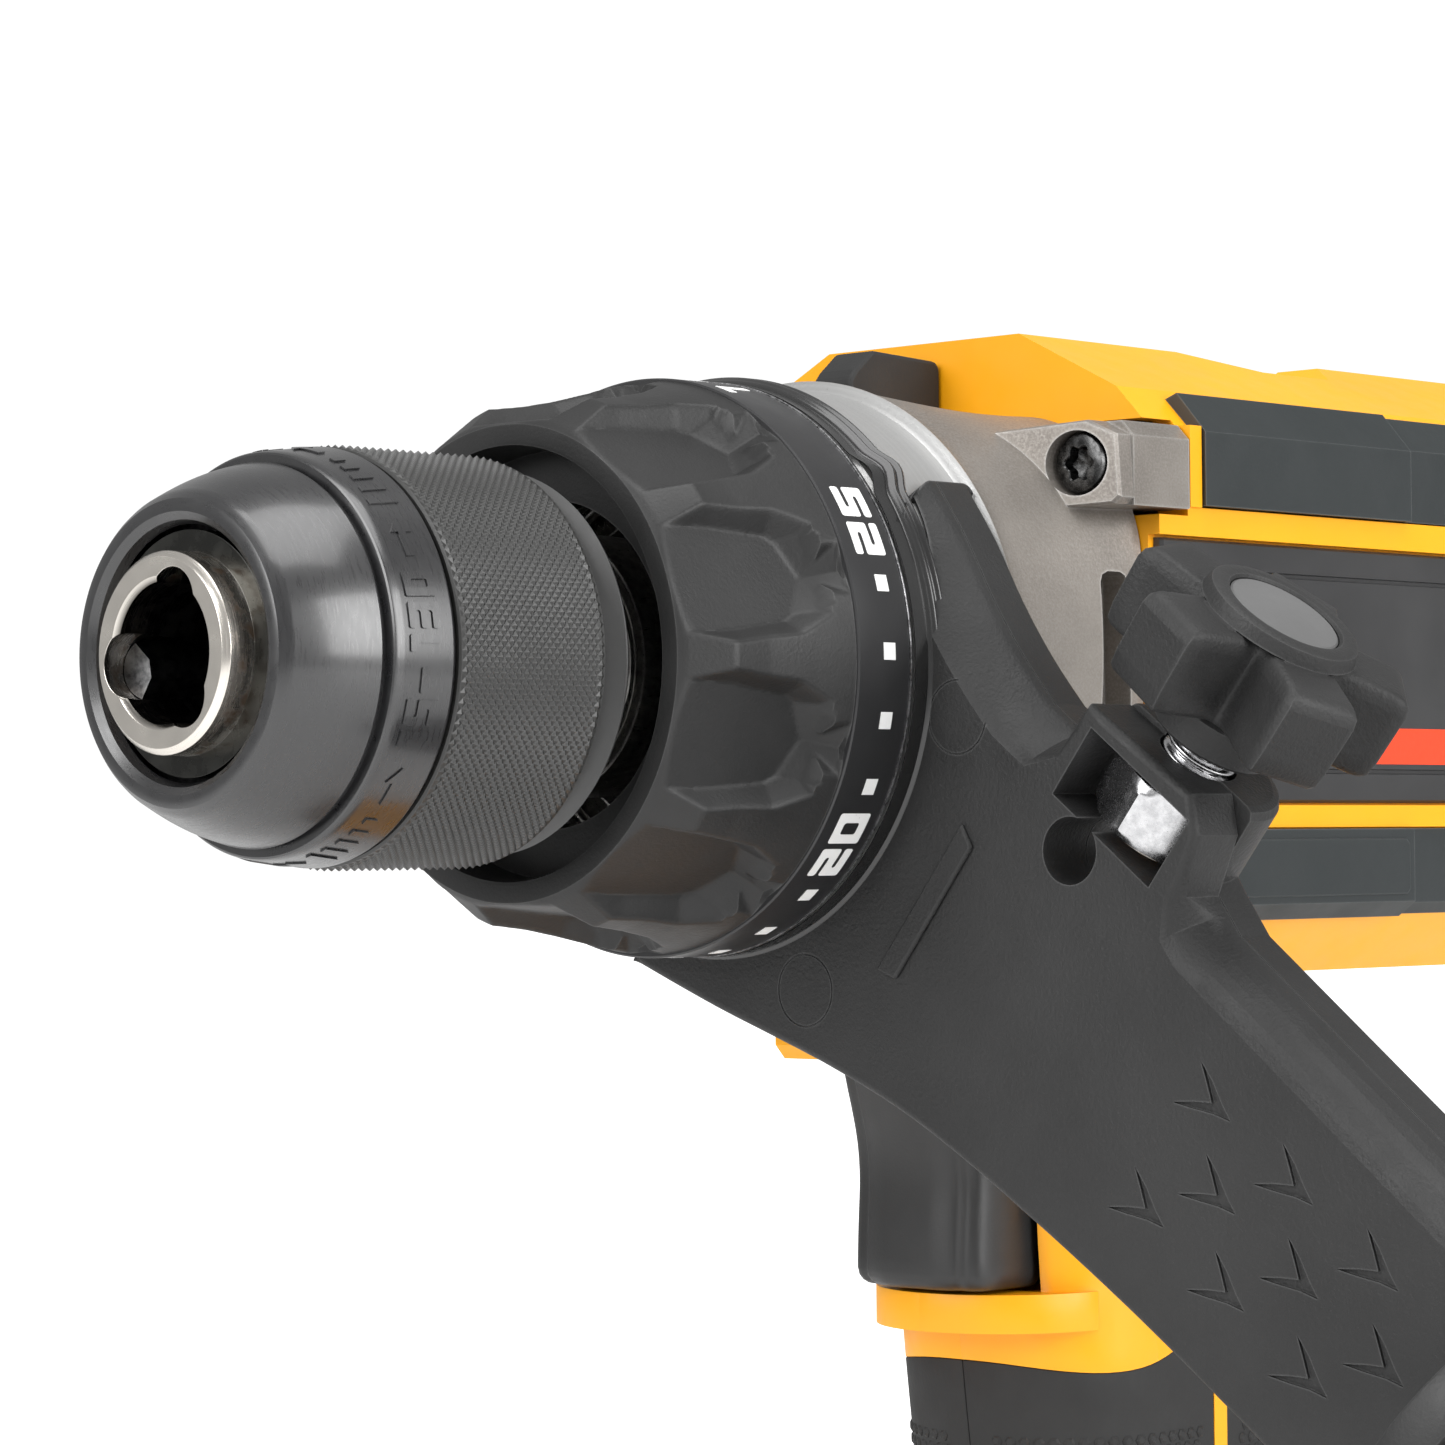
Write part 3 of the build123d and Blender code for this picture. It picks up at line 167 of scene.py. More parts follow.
def add_piece(mesh, name, body, material, replaces=(), sharp=32, flats=False):
    mesh.name = name
    piece = bpy.data.objects.new(name, mesh)
    scene.collection.objects.link(piece)
    mesh.materials.clear()
    mesh.materials.append(material)
    mesh.shade_smooth()
    mesh.set_sharp_from_angle(angle=radians(sharp))
    if flats:
        keep_flats(mesh)
    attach(piece, body)
    if replaces:
        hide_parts(*replaces)
    return piece


def keep_flats(mesh, smallest=30.0):
    """Marks the outlines of large flat faces sharp, so that roundings beside them don't tilt
    their shading. The size is in square mm."""
    work = bmesh.new()
    work.from_mesh(mesh)
    bmesh.ops.dissolve_limit(
        work, angle_limit=radians(0.2), verts=work.verts, edges=work.edges,
        use_dissolve_boundaries=False,
    )
    areas = {}
    plane_of = {}
    for face in work.faces:
        normal = face.normal
        offset = normal.dot(face.calc_center_median())
        plane = (round(normal.x, 2), round(normal.y, 2), round(normal.z, 2), round(offset / MM, 1))
        plane_of[face] = plane
        areas[plane] = areas.get(plane, 0.0) + face.calc_area() / MM ** 2
    for edge in work.edges:
        planes = {plane_of[face] for face in edge.link_faces}
        if len(planes) > 1 and max(areas[plane] for plane in planes) > smallest:
            edge.smooth = False
    work.to_mesh(mesh)
    work.free()


def soften(piece, width, segments=2, angle=30):
    """Rounds a piece's sharp edges."""
    bevel = piece.modifiers.new("soft_edges", "BEVEL")
    bevel.width = width * MM
    bevel.segments = segments
    bevel.limit_method = "ANGLE"
    bevel.angle_limit = radians(angle)
    bevel.use_clamp_overlap = True
    bevel.harden_normals = False
    return bevel


def carve(mesh, cutters, operation="DIFFERENCE"):
    """The mesh with other meshes cut from it or joined to it, as a new mesh."""
    body = bpy.data.objects.new("carve_body", mesh)
    scene.collection.objects.link(body)
    helpers = []
    for cutter in cutters:
        helper = bpy.data.objects.new("carve_tool", cutter)
        scene.collection.objects.link(helper)
        helpers.append(helper)
        change = body.modifiers.new("cut", "BOOLEAN")
        change.operation = operation
        change.object = helper
        change.solver = "MANIFOLD"
    bpy.context.view_layer.update()
    depsgraph = bpy.context.evaluated_depsgraph_get()
    result = bpy.data.meshes.new_from_object(body.evaluated_get(depsgraph))
    for thing in [body, *helpers]:
        bpy.data.objects.remove(thing)
    return result


def cylinder_mesh(place, radius, low, high, steps=64):
    """Round cutter: place(r, angle, height) gives a point."""
    angles = [360 * k / steps for k in range(steps)]
    return loops_mesh("cylinder", [[place(radius, a, h) for a in angles] for h in (low, high)])


# ---------------------------------------------------------------- materials
def node_link(tree, kind, inputs=None, **settings):
    """A new node with its plain settings and its inputs, given as values or as outputs."""
    node = tree.nodes.new(kind)
    for key, value in settings.items():
        setattr(node, key, value)
    for key, value in (inputs or {}).items():
        if isinstance(value, bpy.types.NodeSocket):
            tree.links.new(value, node.inputs[key])
        else:
            node.inputs[key].default_value = value
    return node


def rgb(red, green, blue):
    return (red, green, blue, 1.0)


class Finish:
    """One procedural material, built step by step on a Principled shader."""

    def __init__(self, name, roughness=0.5, metallic=0.0, specular=0.5, coat=0.0, coat_rough=0.1,
                 anisotropic=0.0):
        self.material = bpy.data.materials.new(name)
        self.material.use_nodes = True
        self.tree = self.material.node_tree
        self.shader = self.tree.nodes["Principled BSDF"]
        self.shader.inputs["Metallic"].default_value = metallic
        self.shader.inputs["Roughness"].default_value = roughness
        self.shader.inputs["Specular IOR Level"].default_value = specular
        self.shader.inputs["Coat Weight"].default_value = coat
        self.shader.inputs["Coat Roughness"].default_value = coat_rough
        self.shader.inputs["Anisotropic"].default_value = anisotropic
        self.where = self.tree.nodes.new("ShaderNodeTexCoord").outputs["Object"]
        self.normal = None

    def stretched(self, x, y, z):
        """Object coordinates, scaled unevenly, for brushed and drawn patterns."""
        node = node_link(self.tree, "ShaderNodeMapping", {"Vector": self.where, "Scale": (x, y, z)})
        return node.outputs["Vector"]

    def noise(self, scale, detail=3.0, rough=0.55, where=None):
        node = node_link(
            self.tree, "ShaderNodeTexNoise",
            {"Vector": where or self.where, "Scale": scale, "Detail": detail, "Roughness": rough},
        )
        return node.outputs["Fac"]

    def spread(self, value, low, high, to_low=0.0, to_high=1.0):
        node = node_link(
            self.tree, "ShaderNodeMapRange",
            {"Value": value, "From Min": low, "From Max": high, "To Min": to_low,
             "To Max": to_high},
        )
        return node.outputs["Result"]

    def maths(self, kind, a, b=0.0):
        node = node_link(self.tree, "ShaderNodeMath", {0: a, 1: b}, operation=kind)
        return node.outputs["Value"]

    def blend(self, share, a, b):
        """Colour a, changing to colour b by a share from 0 to 1."""
        node = node_link(
            self.tree, "ShaderNodeMix", {"Factor": share, 6: a, 7: b}, data_type="RGBA"
        )
        return node.outputs[2]

    def station(self):
        """Distance behind the nose, in mm."""
        parts = node_link(self.tree, "ShaderNodeSeparateXYZ", {"Vector": self.where})
        ahead = self.maths("SUBTRACT", NOSE_X, parts.outputs["X"])
        return self.maths("MULTIPLY", ahead, 1000.0)

    def radius(self):
        """Distance from the spindle's axis, in mm."""
        parts = node_link(self.tree, "ShaderNodeSeparateXYZ", {"Vector": self.where})
        height = self.maths("SUBTRACT", parts.outputs["Z"], AXIS_Z)
        square = self.maths(
            "ADD", self.maths("MULTIPLY", height, height),
            self.maths("MULTIPLY", parts.outputs["Y"], parts.outputs["Y"]),
        )
        return self.maths("MULTIPLY", self.maths("SQRT", square), 1000.0)

    def edges(self, low=0.03, high=0.25, width=0.35):
        """Share of wear on edges, within a width in mm."""
        geometry = self.tree.nodes.new("ShaderNodeNewGeometry")
        rounded = node_link(self.tree, "ShaderNodeBevel", {"Radius": width * MM}, samples=4)
        facing = node_link(
            self.tree, "ShaderNodeVectorMath",
            {0: rounded.outputs["Normal"], 1: geometry.outputs["Normal"]}, operation="DOT_PRODUCT",
        )
        return self.spread(self.maths("SUBTRACT", 1.0, facing.outputs["Value"]), low, high)

    def colour(self, value):
        if isinstance(value, bpy.types.NodeSocket):
            self.tree.links.new(value, self.shader.inputs["Base Color"])
        else:
            self.shader.inputs["Base Color"].default_value = value
        return self

    def roughness(self, value):
        self.tree.links.new(value, self.shader.inputs["Roughness"])
        return self

    def bump(self, height, strength, distance):
        """Adds relief, with its depth in mm."""
        inputs = {"Height": height, "Strength": strength, "Distance": distance * MM}
        if self.normal is not None:
            inputs["Normal"] = self.normal
        self.normal = node_link(self.tree, "ShaderNodeBump", inputs).outputs["Normal"]
        self.tree.links.new(self.normal, self.shader.inputs["Normal"])
        return self


def moulded(name, dark, light, rough_low, rough_high, grain=2600.0, depth=0.05, strength=0.55,
            specular=0.5, wear=None, coat=0.0):
    """Moulded plastic or rubber: cloudy colour, spark-eroded grain and slightly worn edges."""
    finish = Finish(name, specular=specular, coat=coat)
    cloud = finish.spread(finish.noise(55.0, 4.0), 0.35, 0.65)
    fine = finish.noise(grain, 2.0, 0.6)
    tint = finish.blend(cloud, dark, light)
    if wear is not None:
        tint = finish.blend(finish.maths("MULTIPLY", finish.edges(), 0.5), tint, wear)
    finish.colour(tint)
    finish.roughness(finish.spread(finish.noise(160.0, 3.0), 0.3, 0.7, rough_low, rough_high))
    finish.bump(fine, strength, depth)
    return finish.material


def polished_steel():
    finish = Finish("polished_steel", metallic=1.0, anisotropic=0.3)
    rings = finish.noise(1.0, 3.0, where=finish.stretched(9000.0, 260.0, 260.0))
    stain = finish.spread(finish.noise(420.0, 4.0), 0.46, 0.62)
    side = finish.spread(finish.station(), 0.5, 2.2)
    inside = finish.spread(finish.radius(), 7.6, 7.0)
    back = finish.spread(finish.station(), 3.5, 3.6)
    tarnish = finish.maths("MULTIPLY", finish.maths("MULTIPLY", stain, side), 0.85)
    tint = finish.blend(rings, rgb(0.80, 0.76, 0.70), rgb(0.70, 0.66, 0.60))
    tint = finish.blend(tarnish, tint, rgb(0.24, 0.15, 0.09))
    tint = finish.blend(finish.maths("MULTIPLY", inside, 0.93), tint, rgb(0.05, 0.047, 0.042))
    tint = finish.blend(back, tint, rgb(0.045, 0.045, 0.042))
    finish.colour(tint)
    gloss = finish.spread(rings, 0.3, 0.7, 0.16, 0.30)
    finish.roughness(finish.maths("ADD", gloss, finish.maths("MULTIPLY", tarnish, 0.2)))
    finish.bump(rings, 0.12, 0.01)
    return finish.material


def steel(name, light, dark, low, high, scale=900.0, coat=0.0):
    """Plain metal with handling marks and fine scratches."""
    finish = Finish(name, metallic=1.0, coat=coat)
    marks = finish.noise(scale, 5.0, 0.65)
    scratch = finish.noise(1.0, 4.0, where=finish.stretched(700.0, 5200.0, 5200.0))
    tint = finish.blend(finish.spread(marks, 0.38, 0.62), dark, light)
    tint = finish.blend(finish.maths("MULTIPLY", finish.edges(), 0.6), tint, light)
    finish.colour(tint)
    finish.roughness(finish.spread(scratch, 0.3, 0.7, low, high))
    finish.bump(scratch, 0.15, 0.01)
    return finish.material


def casting():
    """Die casting: brown-grey blasted skin with bright specks, and a machined light neck."""
    finish = Finish("blasted_casting", metallic=0.55, specular=0.6)
    speck = finish.spread(finish.noise(3400.0, 3.0, 0.7), 0.42, 0.72)
    cloud = finish.spread(finish.noise(70.0, 4.0), 0.32, 0.7)
    tint = finish.blend(cloud, rgb(0.185, 0.165, 0.147), rgb(0.265, 0.241, 0.217))
    tint = finish.blend(finish.maths("MULTIPLY", speck, 0.55), tint, rgb(0.36, 0.34, 0.31))
    worn = finish.maths("MULTIPLY", finish.edges(0.02, 0.2, 0.5), 0.7)
    tint = finish.blend(worn, tint, rgb(0.52, 0.51, 0.49))
    machined = finish.spread(finish.station(), 91.5, 91.3)
    turning = finish.noise(1.0, 2.0, where=finish.stretched(4200.0, 30.0, 30.0))
    bright = finish.blend(turning, rgb(0.34, 0.34, 0.335), rgb(0.46, 0.46, 0.455))
    finish.colour(finish.blend(machined, tint, bright))
    rough = finish.spread(speck, 0.0, 1.0, 0.52, 0.36)
    finish.roughness(finish.maths("SUBTRACT", rough, finish.maths("MULTIPLY", machined, 0.1)))
    finish.bump(finish.noise(1900.0, 3.0, 0.6), 0.5, 0.06)
    return finish.material


def yellow_shell():
    finish = Finish("yellow_shell", specular=0.45)
    cloud = finish.spread(finish.noise(38.0, 3.0), 0.3, 0.7)
    tint = finish.blend(cloud, rgb(0.90, 0.375, 0.001), rgb(0.96, 0.405, 0.002))
    scuff = finish.spread(finish.noise(900.0, 5.0, 0.7), 0.68, 0.76)
    tint = finish.blend(finish.maths("MULTIPLY", scuff, 0.25), tint, rgb(0.75, 0.33, 0.02))
    finish.colour(tint)
    finish.roughness(finish.spread(finish.noise(240.0, 3.0), 0.3, 0.7, 0.34, 0.46))
    finish.bump(finish.noise(3000.0, 2.0), 0.22, 0.03)
    return finish.material


def glossy_black():
    """Black-plated chuck nose: deep gloss with hairline scratches and dust specks."""
    finish = Finish("glossy_black", specular=0.75, coat=0.5, coat_rough=0.14)
    dust = finish.spread(finish.noise(2300.0, 3.0, 0.8), 0.70, 0.78)
    tint = finish.blend(dust, rgb(0.010, 0.010, 0.011), rgb(0.09, 0.085, 0.08))
    finish.colour(tint)
    hair = finish.noise(1.0, 4.0, where=finish.stretched(5000.0, 500.0, 500.0))
    finish.roughness(finish.spread(hair, 0.3, 0.7, 0.24, 0.36))
    finish.bump(finish.noise(260.0, 3.0), 0.10, 0.05)
    return finish.material


def clear_lens():
    finish = Finish("clear_lens", roughness=0.15, specular=0.6)
    finish.shader.inputs["Transmission Weight"].default_value = 0.6
    flutes = finish.noise(1.0, 1.0, where=finish.stretched(60.0, 1400.0, 60.0))
    finish.colour(finish.blend(flutes, rgb(0.80, 0.84, 0.88), rgb(0.92, 0.94, 0.96)))
    finish.bump(flutes, 0.4, 0.1)
    return finish.material


def copper_windings():
    finish = Finish("copper_windings", metallic=0.9, specular=0.5)
    strands = finish.noise(1.0, 2.0, where=finish.stretched(150.0, 4200.0, 4200.0))
    finish.colour(finish.blend(strands, rgb(0.42, 0.17, 0.06), rgb(0.72, 0.38, 0.17)))
    finish.roughness(finish.spread(strands, 0.3, 0.7, 0.28, 0.42))
    finish.bump(strands, 0.6, 0.15)
    return finish.material


def printed(name, ink, edge):
    """Printed mark: ink with a slightly broken edge and thickness."""
    finish = Finish(name, specular=0.4)
    worn = finish.spread(finish.noise(2800.0, 4.0, 0.7), 0.66, 0.74)
    finish.colour(finish.blend(worn, ink, edge))
    finish.roughness(finish.spread(finish.noise(1400.0, 2.0), 0.3, 0.7, 0.42, 0.55))
    finish.bump(finish.noise(2600.0, 2.0), 0.2, 0.02)
    return finish.material


BLACK_WEAR = rgb(0.14, 0.14, 0.14)
POLISHED = polished_steel()
DARK_STEEL = steel("dark_steel", rgb(0.13, 0.13, 0.13), rgb(0.045, 0.045, 0.047), 0.28, 0.45)
ZINC = steel("bright_zinc", rgb(0.62, 0.62, 0.63), rgb(0.46, 0.46, 0.47), 0.16, 0.30)
GEAR_STEEL = steel("gear_steel", rgb(0.46, 0.45, 0.43), rgb(0.30, 0.29, 0.28), 0.25, 0.42)
BRASS = steel("brass", rgb(0.80, 0.58, 0.26), rgb(0.60, 0.40, 0.16), 0.22, 0.38)
CHUCK_BLACK = glossy_black()
KNURL_BLACK = moulded(
    "knurl_black", rgb(0.011, 0.011, 0.010), rgb(0.018, 0.018, 0.017), 0.34, 0.48, depth=0.03,
    strength=0.3, specular=0.65, wear=BLACK_WEAR,
)
COLLAR_BLACK = moulded(
    "collar_black", rgb(0.014, 0.014, 0.014), rgb(0.020, 0.020, 0.020), 0.42, 0.54, depth=0.06,
    strength=0.6, specular=0.42, wear=BLACK_WEAR,
)
BAND_BLACK = moulded(
    "band_black", rgb(0.016, 0.016, 0.017), rgb(0.023, 0.023, 0.024), 0.30, 0.42, depth=0.03,
    strength=0.35, specular=0.55,
)
ARM_BLACK = moulded(
    "arm_black", rgb(0.018, 0.018, 0.018), rgb(0.024, 0.024, 0.024), 0.46, 0.60, grain=2300.0,
    depth=0.11, strength=0.85, specular=0.35, wear=BLACK_WEAR,
)
BLACK_PLASTIC = moulded(
    "black_plastic", rgb(0.015, 0.015, 0.015), rgb(0.021, 0.021, 0.021), 0.36, 0.48, depth=0.05,
    strength=0.4, wear=BLACK_WEAR,
)
RUBBER = moulded(
    "soft_rubber", rgb(0.018, 0.018, 0.018), rgb(0.025, 0.025, 0.025), 0.58, 0.70, grain=2200.0,
    depth=0.06, strength=0.5, specular=0.35,
)
SLATE = moulded(
    "slate_trim", rgb(0.012, 0.0165, 0.0175), rgb(0.016, 0.0205, 0.0215), 0.46, 0.58, depth=0.05,
    strength=0.4, wear=rgb(0.16, 0.17, 0.17),
)
PANEL = moulded(
    "label_panel", rgb(0.025, 0.025, 0.026), rgb(0.033, 0.033, 0.034), 0.34, 0.44, depth=0.02,
    strength=0.25,
)
CAST = casting()
YELLOW = yellow_shell()
LENS = clear_lens()
COPPER = copper_windings()
CELL_WRAP = moulded(
    "cell_wrap", rgb(0.05, 0.20, 0.42), rgb(0.08, 0.26, 0.50), 0.22, 0.34, grain=700.0, depth=0.04,
    strength=0.3,
)
WHITE_INK = printed("white_ink", rgb(0.86, 0.86, 0.85), rgb(0.30, 0.30, 0.30))
RED_INK = printed("red_ink", rgb(0.80, 0.055, 0.012), rgb(0.45, 0.03, 0.01))

WORN_EDGE = steel(
    "worn_edge", rgb(0.62, 0.62, 0.63), rgb(0.06, 0.06, 0.06), 0.25, 0.5, scale=1500.0
)
CAP_GREY = moulded(
    "cap_grey", rgb(0.105, 0.105, 0.105), rgb(0.125, 0.125, 0.125), 0.40, 0.52, grain=2900.0,
    depth=0.03, strength=0.4,
)
SCREW_BLACK = steel("screw_black", rgb(0.10, 0.10, 0.10), rgb(0.03, 0.03, 0.03), 0.22, 0.36)
STRAP_BLACK = moulded(
    "strap_black", rgb(0.012, 0.012, 0.012), rgb(0.018, 0.018, 0.018), 0.16, 0.28, grain=1200.0,
    depth=0.01, strength=0.2, specular=0.6, coat=0.3,
)

SLOT_MATERIALS = {
    "steel": POLISHED, "dark_steel": DARK_STEEL, "zinc": ZINC, "chuck_black": CHUCK_BLACK,
    "chuck_knurl": KNURL_BLACK, "collar_black": COLLAR_BLACK, "case_metal": CAST,
    "yellow": YELLOW, "rubber": RUBBER, "slate": SLATE, "panel": PANEL,
    "black_plastic": BLACK_PLASTIC, "copper": COPPER, "gear_steel": GEAR_STEEL, "lens": LENS,
    "cell_wrap": CELL_WRAP, "brass": BRASS,
}

# ---------------------------------------------------------------- marks and numerals
GLYPH_ROWS = {
    "0": ("###", "# #", "# #", "# #", "###"),
    "1": (" ##", "  #", "  #", "  #", "  #"),
    "2": ("###", "  #", "###", "#  ", "###"),
    "3": ("###", "  #", "###", "  #", "###"),
    "5": ("###", "#  ", "###", "  #", "###"),
    "-": ("   ", "   ", "###", "   ", "   "),
}


def steps_between(low, high, size):
    """Evenly spaced values from low to high, no further apart than a size."""
    count = max(1, ceil((high - low) / size))
    return [low + (high - low) * k / count for k in range(count + 1)]


def raised_mark(work, depth, place):
    """A flat mark, thickened by a depth and laid on the object, as a mesh."""
    raised = bmesh.ops.extrude_face_region(work, geom=work.faces[:])
    for item in raised["geom"]:
        if isinstance(item, bmesh.types.BMVert):
            item.co.z = depth
    for vert in work.verts:
        vert.co = place(*vert.co)
    bmesh.ops.recalc_face_normals(work, faces=work.faces)
    mesh = bpy.data.meshes.new("mark")
    work.to_mesh(mesh)
    work.free()
    return mesh


def glyph_mesh(text, width, height, stroke, depth, place, gap=0.9, corner=0.35):
    """Raised squared numerals, centred: place(x, y, height) puts a point on the object."""
    total = len(text) * width + (len(text) - 1) * gap
    work = bmesh.new()
    columns = (0, stroke, width - stroke, width)
    middle = (height - stroke) / 2
    rows = (height, height - stroke, middle + stroke, middle, stroke, 0)
    for number, letter in enumerate(text):
        left = number * (width + gap) - total / 2
        made = {}

        def corner_point(x, y):
            key = (round(x, 5), round(y, 5))
            if key not in made:
                made[key] = work.verts.new((left + x, y - height / 2, 0))
            return made[key]

        for r, line in enumerate(GLYPH_ROWS[letter]):
            for c, mark in enumerate(line):
                if mark == "#":
                    work.faces.new((
                        corner_point(columns[c], rows[r + 1]),
                        corner_point(columns[c + 1], rows[r + 1]),
                        corner_point(columns[c + 1], rows[r]), corner_point(columns[c], rows[r]),
                    ))
    bmesh.ops.dissolve_limit(
        work, angle_limit=radians(1), verts=work.verts, edges=work.edges,
        use_dissolve_boundaries=False,
    )
    loose = [v for v in work.verts if len(v.link_edges) == 2 and v.is_boundary]
    straight = [
        v for v in loose
        if abs((v.link_edges[0].other_vert(v).co - v.co).normalized().dot(
            (v.link_edges[1].other_vert(v).co - v.co).normalized())) > 0.99
    ]
    bmesh.ops.dissolve_verts(work, verts=straight)
    bmesh.ops.bevel(
        work, geom=work.verts[:], offset=corner, segments=3, affect="VERTICES",
        profile=0.5, clamp_overlap=True,
    )
    bmesh.ops.triangulate(work, faces=work.faces)
    bmesh.ops.subdivide_edges(
        work, edges=[e for e in work.edges if e.calc_length() > 1.0], cuts=2, use_grid_fill=True
    )
    bmesh.ops.triangulate(work, faces=work.faces)
    return raised_mark(work, depth, place)


def outline_mesh(outline, depth, place, cut=1.0):
    """A raised flat mark over a convex outline, cut fine enough to follow a round surface."""
    work = bmesh.new()
    work.faces.new([work.verts.new((x, y, 0)) for x, y in outline])
    bmesh.ops.triangulate(work, faces=work.faces)
    for _ in range(3):
        long_edges = [e for e in work.edges if e.calc_length() > cut]
        if long_edges:
            bmesh.ops.subdivide_edges(work, edges=long_edges, cuts=1, use_grid_fill=True)
            bmesh.ops.triangulate(work, faces=work.faces)
    return raised_mark(work, depth, place)


def joined(name, meshes):
    """Several meshes as one."""
    work = bmesh.new()
    for mesh in meshes:
        work.from_mesh(mesh)
    mesh = bpy.data.meshes.new(name)
    work.to_mesh(mesh)
    work.free()
    return mesh


def box_outline(width, height, x=0.0, y=0.0):
    return [
        (x - width / 2, y - height / 2), (x + width / 2, y - height / 2),
        (x + width / 2, y + height / 2), (x - width / 2, y + height / 2),
    ]


# ---------------------------------------------------------------- chuck
NOSE_PROFILE = [(2.0, 13.9), (1.95, 14.5), (2.15, 15.2), (2.7, 15.75), (3.2, 16.1)]
CONE_END = 12.0
CONE_END_R = 19.3


def cone_radius(s):
    """Outside of the nose cone between its lip and the groove, slightly crowned."""
    t = (s - 3.2) / (CONE_END - 3.2)
    return 16.1 + (CONE_END_R - 16.1) * t + 0.35 * sin(pi * t)


def nose_band_radius(s):
    return 20.3 + 0.9 * (s - 12.5) / 7.0


def make_nose_sleeve():
    cone = [(s, cone_radius(s)) for s in steps_between(3.4, CONE_END - 0.25, 0.6)]
    band = [(s, nose_band_radius(s)) for s in steps_between(12.9, 19.3, 0.8)]
    profile = [
        (3.6, 12.7), (2.6, 13.1), *NOSE_PROFILE, *cone, (12.0, 19.15), (12.1, 18.9), (12.5, 18.9),
        (12.52, 20.0), (12.62, 20.2), *band, (19.5, 21.1), (19.62, 20.9), (19.7, 20.6),
        (20.2, 20.5), (20.2, 19.2), (13.4, 18.0), (13.0, 17.2), (8.0, 15.6), (4.2, 13.2),
    ]
    sleeve = lathe_mesh("nose_sleeve", profile, steps=192)
    add_piece(
        sleeve, "nose_sleeve", "chuck_sleeve", CHUCK_BLACK, ["chuck_nose_sleeve"],
        sharp=24,
    )


ARROW = [(-2.2, -0.45), (0.6, -0.45), (0.6, 0.45), (-2.2, 0.45)]
ARROW_HEAD = [(0.6, -1.25), (2.4, 0.0), (0.6, 1.25)]


def on_band(turn, s):
    """Places a mark on the raised band, its top towards the nose."""
    def place(x, y, height):
        radius = nose_band_radius(s - y) + 0.02 + height
        return polar(s - y, radius, turn + degrees(x / (nose_band_radius(s) + 0.02 + height)))
    return place


def make_nose_marks():
    """Generic relief: range figures and opening arrows, moulded in the sleeve's own colour."""
    marks = []
    for group in range(3):
        turn = group * 120.0 - 4.0
        marks.append(glyph_mesh("15-130", 2.6, 3.6, 0.85, 0.16, on_band(turn, 16.0), 0.6, 0.2))
        for side in (36.0, 84.0):
            for shape in (ARROW, ARROW_HEAD):
                marks.append(outline_mesh(shape, 0.16, on_band(turn + side, 16.0)))
        for step in range(5):
            bar = box_outline(0.8, 3.4 - 0.5 * step, x=-4 + 2.0 * step)
            marks.append(outline_mesh(bar, 0.16, on_band(turn + 60.0, 16.0)))
    add_piece(
        joined("nose_relief_marks", marks), "nose_relief_marks", "chuck_sleeve", CHUCK_BLACK,
    )


KNURL_FRONT = 20.5
KNURL_BACK = 40.1
KNURL_ROUND = 128
KNURL_DEPTH = 0.34
KNURL_BORE_R = 19.3


def ring_faces(one, other, count):
    """Faces between two rings of points, given by their first points."""
    return [
        (one + i, other + i, other + (i + 1) % count, one + (i + 1) % count) for i in range(count)
    ]


def make_grip_sleeve():
    """Diamond knurl: a lattice of crests and valleys, split along its valleys."""
    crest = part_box("chuck_grip_sleeve")[1].y / MM
    rows = 2 * round((KNURL_BACK - KNURL_FRONT) / (2 * pi * crest / KNURL_ROUND))
    count = 2 * KNURL_ROUND
    points = []
    for j in range(rows + 1):
        s = KNURL_FRONT + (KNURL_BACK - KNURL_FRONT) * j / rows
        end = min(1.0, min(j, rows - j) / 2)
        for i in range(count):
            high = (i + j) % 2
            radius = crest - KNURL_DEPTH + (KNURL_DEPTH * end if high else 0.0)
            points.append(polar(s, radius, 360 * i / count))
    faces = []
    for j in range(rows):
        for i in range(count):
            a, b = j * count + i, j * count + (i + 1) % count
            c, d = a + count, b + count
            if (i + j) % 2:
                faces += [(a, b, c), (b, d, c)]
            else:
                faces += [(a, b, d), (a, d, c)]
    inner_rings = []
    for s, above in ((KNURL_FRONT - 0.2, 0), (KNURL_BACK + 0.2, rows * count)):
        for radius in (20.9, KNURL_BORE_R):
            base = len(points)
            points += [polar(s, radius, 360 * i / count) for i in range(count)]
            faces += ring_faces(above, base, count)
            above = base
        inner_rings.append(above)
    faces += ring_faces(*inner_rings, count)
    add_piece(
        mesh_from("grip_sleeve_knurl", points, faces), "grip_sleeve_knurl", "chuck_sleeve",
        KNURL_BLACK, ["chuck_grip_sleeve"], sharp=12,
    )


def make_rear_ring():
    """Ring behind the grip sleeve, with a fine spiral roll mark."""
    profile = [(33.4, 15.0), (33.4, 18.9), (40.7, 18.9), (40.7, 20.0)]
    for step in range(14):
        s = 40.9 + 0.26 * step
        profile += [(s, 20.05), (s + 0.13, 19.86)]
    profile += [(44.6, 19.9), (45.0, 19.6), (45.2, 19.2), (45.2, 15.0)]
    add_piece(
        lathe_mesh("rear_ring", profile), "rear_ring", "spindle_and_chuck", KNURL_BLACK,
        ["chuck_rear_ring"], sharp=20,
    )


make_nose_sleeve()
make_nose_marks()
make_grip_sleeve()
make_rear_ring()

